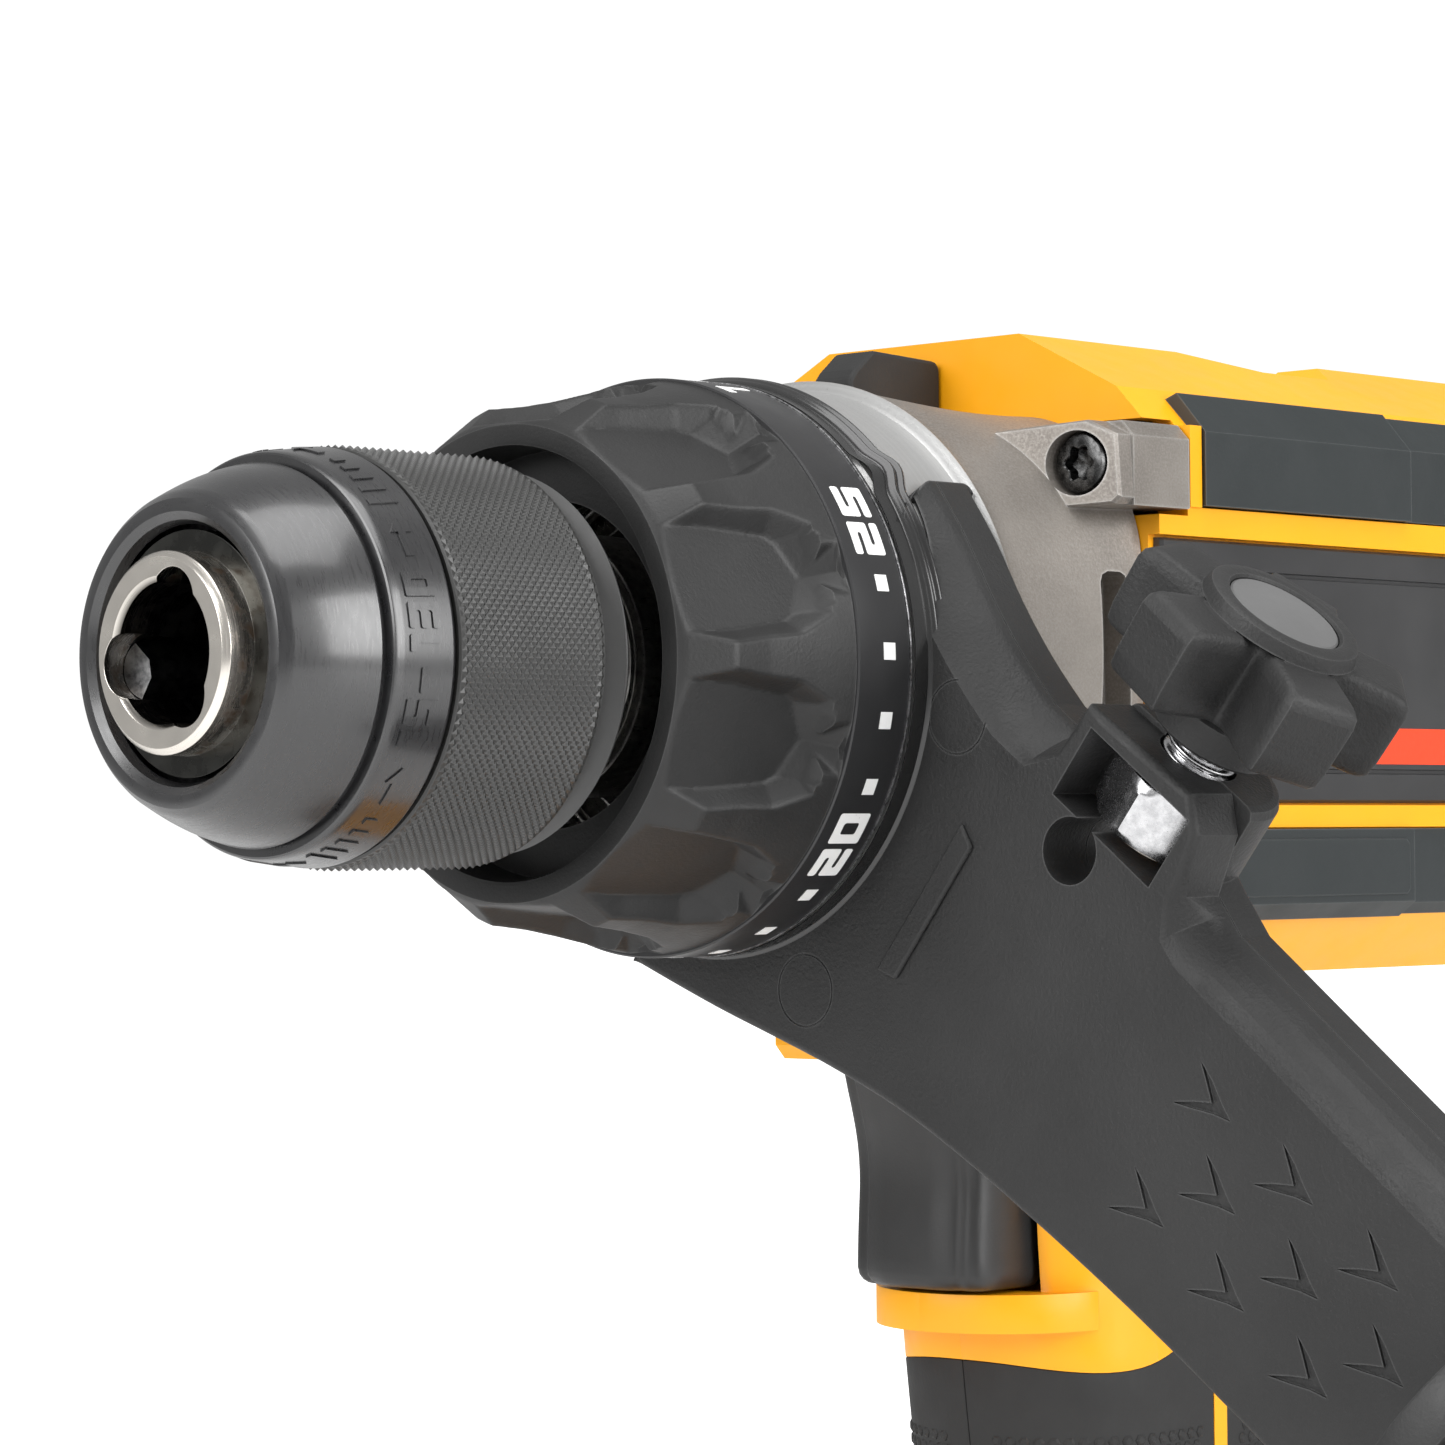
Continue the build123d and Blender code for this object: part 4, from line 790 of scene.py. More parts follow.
# ---------------------------------------------------------------- torque collar
COLLAR_LAND = ((46.4, 25.1), (46.9, 25.7), (51.5, 28.6), (56.0, 29.0), (62.0, 30.0), (66.9, 30.9))
BAND_R = 31.3
POCKETS = 10
POCKET_TURN = 18.0
POCKET_OUTLINE = ((0.0, 5.9), (7.0, 5.6), (14.5, 4.7), (18.2, 2.6), (19.0, 0.0))
POCKET_START = 45.8
POCKET_RISE = tan(radians(6))


def pocket_radius(s, angle):
    """Radius of a pocket's floor and sloping walls, at an angle from its middle line."""
    along = s - POCKET_START
    floor_height = 25.2 + along * POCKET_RISE
    across = floor_height * tan(radians(angle))
    half = between(POCKET_OUTLINE, along) if along < 19.0 else 0.0
    outside = max(0.0, abs(across) - half)
    beyond = max(0.0, along - 15.4 - max(0.0, (4.6 - abs(across))) * 0.55)
    rise = max(outside * 1.35, beyond * 0.75)
    return (floor_height + rise) / cos(radians(angle))


def collar_radius(s, angle):
    base = between(COLLAR_LAND, s)
    pitch = 360 / POCKETS
    offset = (angle - POCKET_TURN + pitch / 2) % pitch - pitch / 2
    return smooth_min(base, pocket_radius(s, offset), 0.35)


def make_torque_collar():
    count = 720
    angles = [360 * k / count for k in range(count)]
    rows = [46.4, 46.6, 46.9, 47.4] + steps_between(48.0, 66.6, 0.45) + [66.9]
    loops = [[polar(s, collar_radius(s, a), a) for a in angles] for s in rows]
    for s, radius in (
        (67.05, 30.95), (67.1, 30.6), (75.5, 30.6), (75.5, 27.6), (55.0, 25.2), (55.0, 17.4),
        (52.6, 17.4), (52.6, 22.6), (47.4, 22.6), (46.5, 22.9), (46.38, 23.3),
    ):
        loops.append([polar(s, radius, a) for a in angles])
    add_piece(
        loops_mesh("torque_collar_shell", loops, closed=True), "torque_collar_shell", "collar",
        COLLAR_BLACK, ["torque_collar"], sharp=38,
    )
    band = [
        (67.0, 30.55), (67.0, 31.1), (67.15, 31.28), (67.4, BAND_R), (74.7, BAND_R),
        (75.0, 31.22), (75.25, 31.1), (75.3, 30.9), (75.3, 30.55),
    ]
    add_piece(
        lathe_mesh("number_band", band, steps=256), "number_band", "collar", BAND_BLACK,
        sharp=28,
    )
    rim = [(75.0, 31.05), (74.98, 31.36), (75.12, 31.4), (75.3, 31.3), (75.36, 31.05)]
    add_piece(
        lathe_mesh("number_band_worn_edge", rim, steps=256), "number_band_worn_edge", "collar",
        WORN_EDGE, sharp=60,
    )


STEP_ANGLE = 13.26
LAST_NUMBER_ANGLE = 28.0
TICK_S = 71.7
NUMERAL_S = 71.2
NUMERAL_SIZE = (3.75, 4.6)      # width and height of one figure
NUMERAL_STROKE = 1.15
NUMERAL_GAP = 0.75
NUMERAL_CORNER = 0.55
TICK_SIZE = 1.8
INK_DEPTH = 0.04


def on_dial(turn, s):
    """Places a printed mark on the number band, its top towards the chuck."""
    def place(x, y, height):
        radius = BAND_R + height + 0.005
        return polar(s - y, radius, turn + degrees(x / radius))
    return place


def make_dial_marks():
    numerals = []
    ticks = []
    for setting in range(1, 26):
        turn = LAST_NUMBER_ANGLE - (25 - setting) * STEP_ANGLE
        if setting == 1 or setting % 5 == 0:
            numerals.append(glyph_mesh(
                str(setting), *NUMERAL_SIZE, NUMERAL_STROKE, INK_DEPTH, on_dial(turn, NUMERAL_S),
                NUMERAL_GAP, NUMERAL_CORNER,
            ))
        else:
            tick = box_outline(TICK_SIZE, TICK_SIZE)
            ticks.append(outline_mesh(tick, INK_DEPTH, on_dial(turn, TICK_S)))
    for name, marks in (("dial_numerals", numerals), ("dial_ticks", ticks)):
        add_piece(joined(name, marks), name, "collar", WHITE_INK)


make_torque_collar()
make_dial_marks()

# ---------------------------------------------------------------- clamp strap round the neck
def make_strap():
    """Pressed strap with two ridges and a kink where it enters the handle. Its dark front lip is painted shade: a
    black band laid over the neck where the neck only lies in shadow.
    """
    steps = 240
    # the front lip, from 75.75 to 77.7 behind the nose, is painted shade: a dark band standing in for the shadow
    # on the neck ahead of the strap
    section = [(75.75, 31.3), (75.75, 31.38), (77.7, 31.4)]
    for k in range(17):
        t = k / 16
        ridge = 0.42 * (0.5 - 0.5 * cos(4 * pi * t))
        section.append((77.9 + 2.6 * t, 31.75 + ridge))
    section += [(80.5, 31.3)]
    loops = []
    for k in range(steps):
        angle = 360 * k / steps
        kink = ease((46 - angle) / 6) * ease((angle - 34) / 6) if 34 < angle < 46 else 0.0
        loops.append([polar(s + 0.8 * kink, r + 0.6 * kink, angle) for s, r in section])
    add_piece(
        loops_mesh("clamp_strap", loops, closed=True), "clamp_strap", "side_handle", STRAP_BLACK,
        ["clamp_band"], sharp=45,
    )


make_strap()

# ---------------------------------------------------------------- side handle
ARM_FRONT = 78.0
ARM_SEAM = 85.0
ARM_BACK = 90.6
SEAM_GAP = 0.06
NECK_SEAT_R = 31.6


def curve(points, steps):
    """Smooth curve through 2D points."""
    ends = [points[0], *points, points[-1]]
    line = []
    for a, b, c, d in zip(ends, ends[1:], ends[2:], ends[3:]):
        for k in range(steps):
            t = k / steps
            line.append(tuple(
                0.5 * (
                    2 * b[i] + (c[i] - a[i]) * t
                    + (2 * a[i] - 5 * b[i] + 4 * c[i] - d[i]) * t ** 2
                    + (3 * b[i] - a[i] - 3 * c[i] + d[i]) * t ** 3
                )
                for i in range(2)
            ))
    return line + [points[-1]]


UPPER_EDGE = [(8.7, 31.6), (16.0, 29.2), (23.1, 26.2), (30.0, 23.9), (36.5, 22.4)]
LUG_EDGE = [(44.2, 22.4), (44.5, 28.3), (60.5, 28.9), (63.6, 26.0), (65.4, 19.6)]
OUTER_EDGE = [(65.4, 19.6), (70.0, 18.1), (90.0, 17.6), (118.0, 17.0), (122.4, 13.5), (122.4, 0.0)]
END_EDGE = [(122.4, -13.0), (118.0, -16.6)]
LOWER_EDGE = [
    (118.0, -16.6), (86.0, -17.4), (57.9, -19.9), (41.2, -23.4), (22.0, -29.6), (9.0, -33.4)
]


def densified(points, size):
    """The closed outline with no side longer than a size."""
    line = []
    for a, b in zip(points, points[1:] + points[:1]):
        for t in steps_between(0.0, 1.0, size / max(size, hypot(b[0] - a[0], b[1] - a[1])))[:-1]:
            line.append((a[0] + (b[0] - a[0]) * t, a[1] + (b[1] - a[1]) * t))
    return line


def arm_outline(lug):
    """Outline of the arm, clockwise from its upper collar end, with or without the lug."""
    upper = curve(UPPER_EDGE, 4)
    middle = LUG_EDGE if lug else [(58.0, 22.4)]
    outer = OUTER_EDGE[1:] if lug else [(65.4, 19.6), *OUTER_EDGE[1:]]
    return densified([*upper, *middle, *outer, *END_EDGE, *curve(LOWER_EDGE, 6)[1:]], 3.0)


def inward(outline, k):
    """Inward direction at a point of a clockwise outline."""
    (x0, y0), (x1, y1) = outline[k - 1], outline[(k + 1) % len(outline)]
    length = hypot(x1 - x0, y1 - y0)
    return ((y1 - y0) / length, -(x1 - x0) / length)


def rounded_slab(outline, back, front, edge):
    """Slab over an outline. edge(u, v) gives its front edge's inset, depth and fullness."""
    toward = -1 if front < back else 1
    loops = [[arm(u, v, back) for u, v in outline]]
    for step in range(7):
        t = radians(90 * step / 6)
        loop = []
        for k, (u, v) in enumerate(outline):
            inset, depth, power = edge(u, v)
            nu, nv = inward(outline, k)
            over = inset * (1 - cos(t) ** (2 / power))
            drop = depth * (1 - sin(t) ** (2 / power))
            loop.append(arm(u + nu * over, v + nv * over, front - toward * drop))
        loops.append(loop)
    return loops_mesh("slab", loops)


SMALL_ROUND = 0.9
CHAMFER_INSET = 4.3
CHAMFER_DEPTH = 5.9
BACK_ROUND = 1.2


def front_edge(u, v):
    """Wide chamfer along the top, full rounding past the lug, small rounding elsewhere."""
    near_lug = ease((u - 41.5) / 2.0) * ease((67.5 - u) / 3.0)
    on_top = ease((v - 4.0) / 6.0)
    outer = ease((u - 66.0) / 6.0)
    wide = on_top * (1 - near_lug)
    end = ease((12.0 - u) / 2.0)
    wide = max(wide, 0.75 * end * on_top)
    inset = SMALL_ROUND + (CHAMFER_INSET - SMALL_ROUND) * wide
    depth = SMALL_ROUND + (CHAMFER_DEPTH - SMALL_ROUND) * wide
    power = 1.25 + 0.6 * outer + 0.6 * (1 - wide)
    return inset, depth, min(power, 2.0)


def back_edge(_u, _v):
    """The same rounding all round."""
    return BACK_ROUND, BACK_ROUND, 2.0


def hole_place(u, v):
    """Places a round shape through the arm."""
    def place(r, angle, s):
        a = radians(angle)
        return arm(u + r * cos(a), v + r * sin(a), s)
    return place


ROD_HOLE = (51.7, 14.9)
ROD_HOLE_R = 3.5
STUD_HOLE_R = 4.3


def arm_cutters():
    """Neck seat, depth rod hole, nut pocket and stud hole."""
    pocket = [(46.4, 18.2), (62.0, 18.2), (62.0, 26.6), (46.4, 26.6)]
    return [
        cylinder_mesh(lambda r, a, s: polar(s, r, a), NECK_SEAT_R, 75.0, 93.0, 180),
        cylinder_mesh(hole_place(*ROD_HOLE), ROD_HOLE_R, 75.0, 93.0),
        prism_mesh("pocket", pocket, arm, 75.0, 94.2),
        cylinder_mesh(on_stud, STUD_HOLE_R, 15.0, 35.0),
    ]


RUBBING_BAR = [(38.7, -11.0), (41.4, -10.2), (41.4, 7.4), (38.7, 8.5)]
EJECTOR_MARKS = ((31.3, 16.8), (31.8, -19.4))
CHEVRONS = tuple(
    (81.8 + 12.6 * row + 6.0 * (column % 2), 6.1 - 6.9 * column)
    for row in range(3) for column in range(3)
)
DART_DEPTH = 0.4
DART = [
    (-4.2, 2.5), (-1.8, 1.75), (0.5, 0.65), (2.3, 0.0), (0.2, -0.75), (-2.2, -2.0), (-4.5, -3.1),
    (-2.4, -1.3), (-0.6, 0.0), (-2.2, 1.15),
]


def on_arm_front(u, v, height):
    """A point above the arm's front face."""
    return arm(u, v, ARM_FRONT - height)


def make_arm():
    """Front and rear shell, meeting at a fine seam, with the marks in the front face."""
    front = rounded_slab(arm_outline(True), ARM_SEAM - SEAM_GAP, ARM_FRONT, front_edge)
    front = carve(front, arm_cutters())
    cuts = []
    for u, v in EJECTOR_MARKS:
        loops = [
            [hole_place(u, v)(r, a, s) for a in range(0, 360, 8)]
            for r, s in ((3.78, 77.5), (3.98, 77.5), (3.98, 78.16), (3.78, 78.16))
        ]
        cuts.append(loops_mesh("ring", loops, closed=True))
    for u, v in CHEVRONS:
        dart = [(u + x, v + y) for x, y in DART]
        cuts.append(prism_mesh("dart", dart, arm, ARM_FRONT - 0.5, ARM_FRONT + DART_DEPTH))
    front = carve(front, cuts)
    add_piece(
        front, "handle_front_arm", "side_handle", ARM_BLACK,
        ["handle_front_shell"], sharp=28, flats=True,
    )
    back = rounded_slab(arm_outline(False), ARM_SEAM + SEAM_GAP, ARM_BACK, back_edge)
    lug_top = ((9.75, 18.7), (9.75, 28.0), (9.3, 28.75), (8.5, 29.0))
    angles = [360 * k / 72 for k in range(72)]
    lug = loops_mesh("lug", [[on_stud(r, a, v) for a in angles] for r, v in lug_top])
    beyond = box_outline(60, 60, STUD_U, 22)
    half_space = prism_mesh("behind", beyond, arm, ARM_SEAM + SEAM_GAP, 110.0)
    lug = carve(lug, [half_space], "INTERSECT")
    back = carve(carve(back, [lug], "UNION"), arm_cutters())
    add_piece(
        back, "handle_rear_arm", "side_handle", ARM_BLACK,
        ["handle_rear_shell"], sharp=28, flats=True,
    )
    bar_mesh = loops_mesh(
        "arm_raised_bar",
        [[on_arm_front(u, v, h) for u, v in RUBBING_BAR] for h in (-0.1, 0.55)],
    )
    soften(add_piece(bar_mesh, "arm_raised_bar", "side_handle", ARM_BLACK), 0.3)


make_arm()

# ---------------------------------------------------------------- clamp knob, stud and nut
STUD_LOW = 19.1
STUD_HIGH = 42.9
THREAD_PITCH = 1.25
THREAD_ROOT_R = 3.36
THREAD_DEPTH = 0.6
THREAD_SIDES = 32


def make_stud():
    """M8 stud with a real helical thread, flattened out at both ends."""
    rows = int((STUD_HIGH - STUD_LOW) / THREAD_PITCH * 10)
    loops = []
    for row in range(rows + 1):
        v = STUD_LOW + (STUD_HIGH - STUD_LOW) * row / rows
        end = ease(min(v - STUD_LOW, STUD_HIGH - v) / 1.2)
        loop = []
        for k in range(THREAD_SIDES):
            phase = (v / THREAD_PITCH - k / THREAD_SIDES) % 1.0
            crest = 1 - abs(2 * phase - 1)
            radius = THREAD_ROOT_R + THREAD_DEPTH * end * min(1.0, crest * 1.25)
            loop.append(on_stud(radius, 360 * k / THREAD_SIDES, v))
        loops.append(loop)
    add_piece(
        loops_mesh("stud_thread", loops), "stud_thread", "stud", ZINC, ["clamp_stud"],
        sharp=70,
    )


NUT_CORNER_R = 7.45
NUT_BORE_R = 4.08


def make_nut():
    """Hex nut with chamfered corners, lying in its pocket."""
    flat = NUT_CORNER_R * cos(radians(30))
    loops = []
    angles = [6 * k for k in range(60)]

    def hex_radius(angle, limit):
        offset = (angle + 35) % 60 - 30
        return min(flat / cos(radians(offset)), limit)

    rows = (
        (19.22, 6.6), (19.8, 7.0), (20.3, NUT_CORNER_R), (24.6, NUT_CORNER_R), (25.1, 7.0),
        (25.7, 6.6),
    )
    for v, limit in rows:
        loops.append([on_stud(hex_radius(a, limit), a, v) for a in angles])
    for v, radius in ((25.7, 4.6), (25.2, NUT_BORE_R), (19.7, NUT_BORE_R), (19.22, 4.6)):
        loops.append([on_stud(radius, a, v) for a in angles])
    add_piece(
        loops_mesh("clamp_hex_nut", loops, closed=True), "clamp_hex_nut", "side_handle", ZINC,
        ["clamp_nut"], sharp=25,
    )


KNOB_LOBES = 5
LOBE_REACH = 15.3
LOBE_HALF_WIDTH = 4.25
LOBE_TURN = 25.0        # angle of the first lobe's middle
KNOB_BORE_R = 4.15
HUB_ROWS = ((KNOB_BORE_R, 31.6), (5.2, 31.2), (6.2, 31.22), (6.6, 31.6), (6.75, 33.0), (7.1, 34.9))
RING_ROWS = (           # radius and height of the raised ring and the seat for the cap
    (8.75, 45.5), (8.55, 46.2), (8.3, 46.9), (7.9, 47.15), (7.1, 47.2), (6.5, 47.1), (6.25, 46.8),
    (6.2, 46.2), (0.4, 46.2), (0.4, 43.0), (KNOB_BORE_R, 43.0),
)
LOBE_ROWS = (       # height up the stud, and how far the outline is pulled in
    (35.4, 3.2), (35.45, 1.6), (35.75, 0.8), (36.3, 0.35), (38.0, 0.12), (43.6, 0.0),
    (44.6, 0.25), (45.1, 0.8), (45.38, 1.6), (45.4, 2.6),
)


def lobe_radius(angle, shrink):
    """Radius of the five-lobed grip at an angle, pulled in by a shrink in mm."""
    pitch = 360 / KNOB_LOBES
    offset = radians((angle - LOBE_TURN + pitch / 2) % pitch - pitch / 2)
    reach = (LOBE_REACH - shrink) / max(0.2, cos(offset))
    side = (LOBE_HALF_WIDTH - 0.5 * shrink) / max(0.05, abs(sin(offset)))
    lobe = smooth_min(reach, side, 1.5)
    return smooth_max(7.6 - 0.3 * shrink, lobe, 1.1)


def make_knob():
    """Five-lobed knob on a hub, with a raised ring round its grey cap."""
    count = 240
    angles = [360 * k / count for k in range(count)]
    loops = [[on_stud(r, a, v) for a in angles] for r, v in HUB_ROWS]
    for v, shrink in LOBE_ROWS:
        loops.append([on_stud(lobe_radius(a, shrink), a, v) for a in angles])
    loops.append([on_stud(min(9.3, lobe_radius(a, 3.2)), a, 45.4) for a in angles])
    loops += [[on_stud(r, a, v) for a in angles] for r, v in RING_ROWS]
    add_piece(
        loops_mesh("clamp_knob_grip", loops, closed=True), "clamp_knob_grip", "knob", ARM_BLACK,
        ["clamp_knob"], sharp=34, flats=True,
    )
    cap = [(0.0, 46.25), (6.12, 46.25), (6.12, 46.7), (5.9, 46.85), (0.0, 46.95)]
    loops = [[on_stud(max(r, 0.05), a, v) for a in angles[::4]] for r, v in cap]
    add_piece(
        loops_mesh("clamp_knob_cap", loops), "clamp_knob_cap", "knob", CAP_GREY,
        sharp=30,
    )


make_stud()
make_nut()
make_knob()

# ---------------------------------------------------------------- gear casting
CASE_FRONT = 91.4
CASE_BACK = 113.0
CASE_FRONT_R = 32.2
CASE_BACK_BOX = (32.0, 29.0, 18.0)      # half width, half height and corner radius
BOSS_FRONT = 103.0
BOSS_SLANT = 0.25
BOSS_BACK = 117.9
SCREW_SPOTS = ((30.0, 22.3), (-30.0, 22.3), (30.0, -24.0), (-30.0, -24.0))


def rounded_box_radius(angle, half_width, half_height, corner):
    """Distance from the middle of a rounded rectangle to its edge, at an angle."""
    c, s = abs(cos(radians(angle))), abs(sin(radians(angle)))
    straight = min(half_width / max(c, 1e-6), half_height / max(s, 1e-6))
    cx, cy = half_width - corner, half_height - corner
    if straight * c <= cx or straight * s <= cy:
        return straight
    along = cx * c + cy * s
    return along + sqrt(max(0.0, along ** 2 - cx ** 2 - cy ** 2 + corner ** 2))


def case_radius(s, angle):
    """Outside of the casting: round at the neck, a rounded box where it meets the housing."""
    t = (s - CASE_FRONT) / (CASE_BACK - CASE_FRONT)
    swell = 0.0 if t <= 0 else 0.55 * t + 0.45 * t * t
    return (1 - swell) * CASE_FRONT_R + swell * rounded_box_radius(angle, *CASE_BACK_BOX)


def spindle_hole(y, z):
    """Places a round shape parallel to the spindle."""
    def place(r, angle, s):
        a = radians(angle)
        return at(s, y + r * cos(a), z + r * sin(a))
    return place


BOSS_FACE = (
    (-10.8, 3.9), (1.2, 4.7), (4.6, 3.0), (5.0, -3.9), (4.2, -4.6), (-2.5, -4.9), (-7.9, 0.6)
)
BOSS_REAR = ((-5.0, -4.7), (5.0, -4.7), (5.0, 3.0), (3.4, 4.7), (-5.0, 4.7))


def make_casting():
    """Round neck, swelling into a rounded box, with four slanted screw bosses and side slots."""
    angles = [2.0 * k for k in range(180)]
    neck = [(76.2, 30.9), (76.6, 31.28), (90.4, 31.28), (90.8, 31.6), (91.1, 32.2), (91.4, 32.6)]
    loops = [[polar(s, r, a) for a in angles] for s, r in [(76.2, 17.2), *neck, (91.9, 32.35)]]
    for s in steps_between(92.4, CASE_BACK, 1.5):
        loops.append([polar(s, case_radius(s, a), a) for a in angles])
    body = loops_mesh("casting_body", loops)
    bosses = []
    for y, z in SCREW_SPOTS:
        out, upward = (1 if y > 0 else -1), (1 if z > 0 else -1)
        loops = []
        rows = (
            (0.95, BOSS_FRONT, BOSS_SLANT), (1.0, BOSS_FRONT + 0.4, BOSS_SLANT),
            (1.0, CASE_BACK - 0.01, 0.0),
        )
        for size, station, slant in rows:
            loops.append([
                at(station + slant * (dy + 5.0), y + out * dy * size, z + upward * dz * size)
                for dy, dz in BOSS_FACE
            ])
        bosses.append(loops_mesh("boss", loops))
        rear = [(y + out * dy, z + upward * dz) for dy, dz in BOSS_REAR]
        bosses.append(prism_mesh("boss_rear", rear, lambda a, b, h: at(h, a, b), 108.0, BOSS_BACK))
    body = carve(body, bosses, "UNION")
    cuts = [cylinder_mesh(spindle_hole(0, 0), 25.4, 82.6, 110.4, 96)]
    cuts.append(cylinder_mesh(spindle_hole(0, 0), 18.4, 75.0, 82.7, 96))
    cuts.append(cylinder_mesh(spindle_hole(0, 0), 8.05, 110.0, 120.0))
    for y, z in SCREW_SPOTS:
        cuts.append(cylinder_mesh(spindle_hole(y, z), 3.6, 90.0, 108.0))
        cuts.append(cylinder_mesh(spindle_hole(y, z), 2.0, 100.0, 120.0))
    for side in (1, -1):
        slot = [
            (106.3, 9.2), (106.7, 10.1), (107.6, 10.5), (109.5, 10.5), (110.3, 10.1), (110.7, 9.2),
            (110.9, -11.0), (105.6, -11.0),
        ]
        cuts.append(prism_mesh(
            "slot", slot, lambda s, z, h: at(s, h, z), side * 28.3, side * 36.0,
        ))
    body = carve(body, cuts)
    soften(
        add_piece(
            body, "gear_casting", "tool", CAST, ["gear_case"], sharp=30, flats=True
        ), 0.55, 3, 32,
    )
    pins = []
    for k in range(6):
        a = radians(60 * k)
        pins.append(cylinder_mesh(spindle_hole(20.8 * cos(a), 20.8 * sin(a)), 1.6, 76.4, 82.0, 24))
    add_piece(joined("clutch_pin_ends", pins), "clutch_pin_ends", "tool", GEAR_STEEL)


def torx_radius(angle, size):
    return size * (1 + 0.14 * cos(radians(6 * angle)))


def screw_mesh(place, head_r, head_low, head_high, shank_r, shank_end, socket=0.52):
    """Screw with a domed head and a six-lobed socket: place(r, angle, height) gives a point."""
    angles = [5 * k for k in range(72)]
    toward = 1 if head_high > head_low else -1
    size = head_r * socket
    rows = [
        (lambda a: 0.05, shank_end), (lambda a: shank_r * 0.8, shank_end),
        (lambda a: shank_r, shank_end + toward * 0.4), (lambda a: shank_r, head_low),
        (lambda a: head_r, head_low), (lambda a: head_r, head_high - toward * 0.7),
        (lambda a: head_r * 0.93, head_high - toward * 0.2), (lambda a: head_r * 0.8, head_high),
        (lambda a: torx_radius(a, size * 1.08), head_high),
        (lambda a: torx_radius(a, size), head_high - toward * 0.15),
        (lambda a: torx_radius(a, size * 0.96), head_high - toward * 1.5),
        (lambda a: 0.3, head_high - toward * 1.8), (lambda a: 0.05, head_high - toward * 1.8),
    ]
    return loops_mesh("screw", [[place(radius(a), a, h) for a in angles] for radius, h in rows])


def make_case_screws():
    screws = [
        screw_mesh(spindle_hole(y, z), 3.4, 108.0, 104.6, 1.9, 117.4) for y, z in SCREW_SPOTS
    ]
    add_piece(
        joined("gear_case_torx_screws", screws), "gear_case_torx_screws", "tool", SCREW_BLACK,
        ["gear_case_screws"],
    )


make_casting()
make_case_screws()

# ---------------------------------------------------------------- body trim
PANEL_LOW, PANEL_HIGH = -14.9, 14.4
TRIM_FRONT, TRIM_BACK = 114.1, 204.2
PANEL_SIDE = 33.98
PANEL_THICK = 1.18
RED_BAND = (-10.4, -6.2)


def on_side(side, y=0.0):
    """Places points of a side view: place(s, z, height) above the face at y."""
    def place(s, z, height):
        return at(s, side * (y + height), z)
    return place


def make_side_panel(side, name, node):
    """Panel with two grooves and softened ends, its printed accents and the plate below it."""
    grooves = []
    for z in (-11.3, 10.9):
        grooves += [(z - 0.3, 0.0), (z - 0.2, -0.35), (z + 0.2, -0.35), (z + 0.3, 0.0)]
    section = [(PANEL_LOW, -PANEL_THICK), (PANEL_LOW, -0.3), (PANEL_LOW + 0.3, 0.0), *grooves]
    section += [(PANEL_HIGH - 0.3, 0.0), (PANEL_HIGH, -0.3), (PANEL_HIGH, -PANEL_THICK)]
    rows = (
        (TRIM_FRONT, 0.35), (TRIM_FRONT + 0.35, 0.0), (TRIM_BACK - 0.35, 0.0), (TRIM_BACK, 0.35)
    )
    loops = []
    for s, drop in rows:
        depths = [(max(-PANEL_THICK, y - drop), z) for z, y in section]
        loops.append([at(s, side * (PANEL_SIDE + depth), z) for depth, z in depths])
    panel = loops_mesh(name, loops)
    add_piece(panel, name, "tool", PANEL, [node], sharp=24)
    place = on_side(side, PANEL_SIDE - 0.02)
    low, high = RED_BAND
    band = [(132.0, low), (203.4, low), (203.4, high), (130.2, high)]
    line = [(129.6, low), (130.9, low), (129.1, high), (127.8, high)]
    for label, ink, outline in (("red_accent", RED_INK, band), ("accent_line", WHITE_INK, line)):
        mesh = outline_mesh(outline, 0.08, place, cut=9.0)
        add_piece(mesh, f"{name}_{label}", "tool", ink)
    plate = [
        (121.0, -25.6), (121.0, -19.0), (158.2, -19.0), (158.9, -19.7), (158.9, -25.0),
        (158.2, -25.6),
    ]
    mesh = prism_mesh("plate", plate, on_side(side, 34.9), 0.0, 0.33)
    soften(add_piece(mesh, f"{name}_lower_plate", "tool", SLATE), 0.22)


make_side_panel(1, "side_panel_skin_left", "side_panel_left")
make_side_panel(-1, "side_panel_skin_right", "side_panel_right")

# ---------------------------------------------------------------- trigger
TRIGGER_TOP, TRIGGER_BOTTOM = -44.4, -70.1
TRIGGER_BACK = 121.6
TRIGGER_HALF = 9.6
TRIGGER_ROUND = 2.0
FINGER_CURVE = [(-70.1, 108.5), (-66.0, 108.5), (-56.0, 109.2), (-50.0, 107.9), (-44.4, 106.0)]


def trigger_front(z):
    """Station of the finger curve at a height."""
    return between(FINGER_CURVE, z)


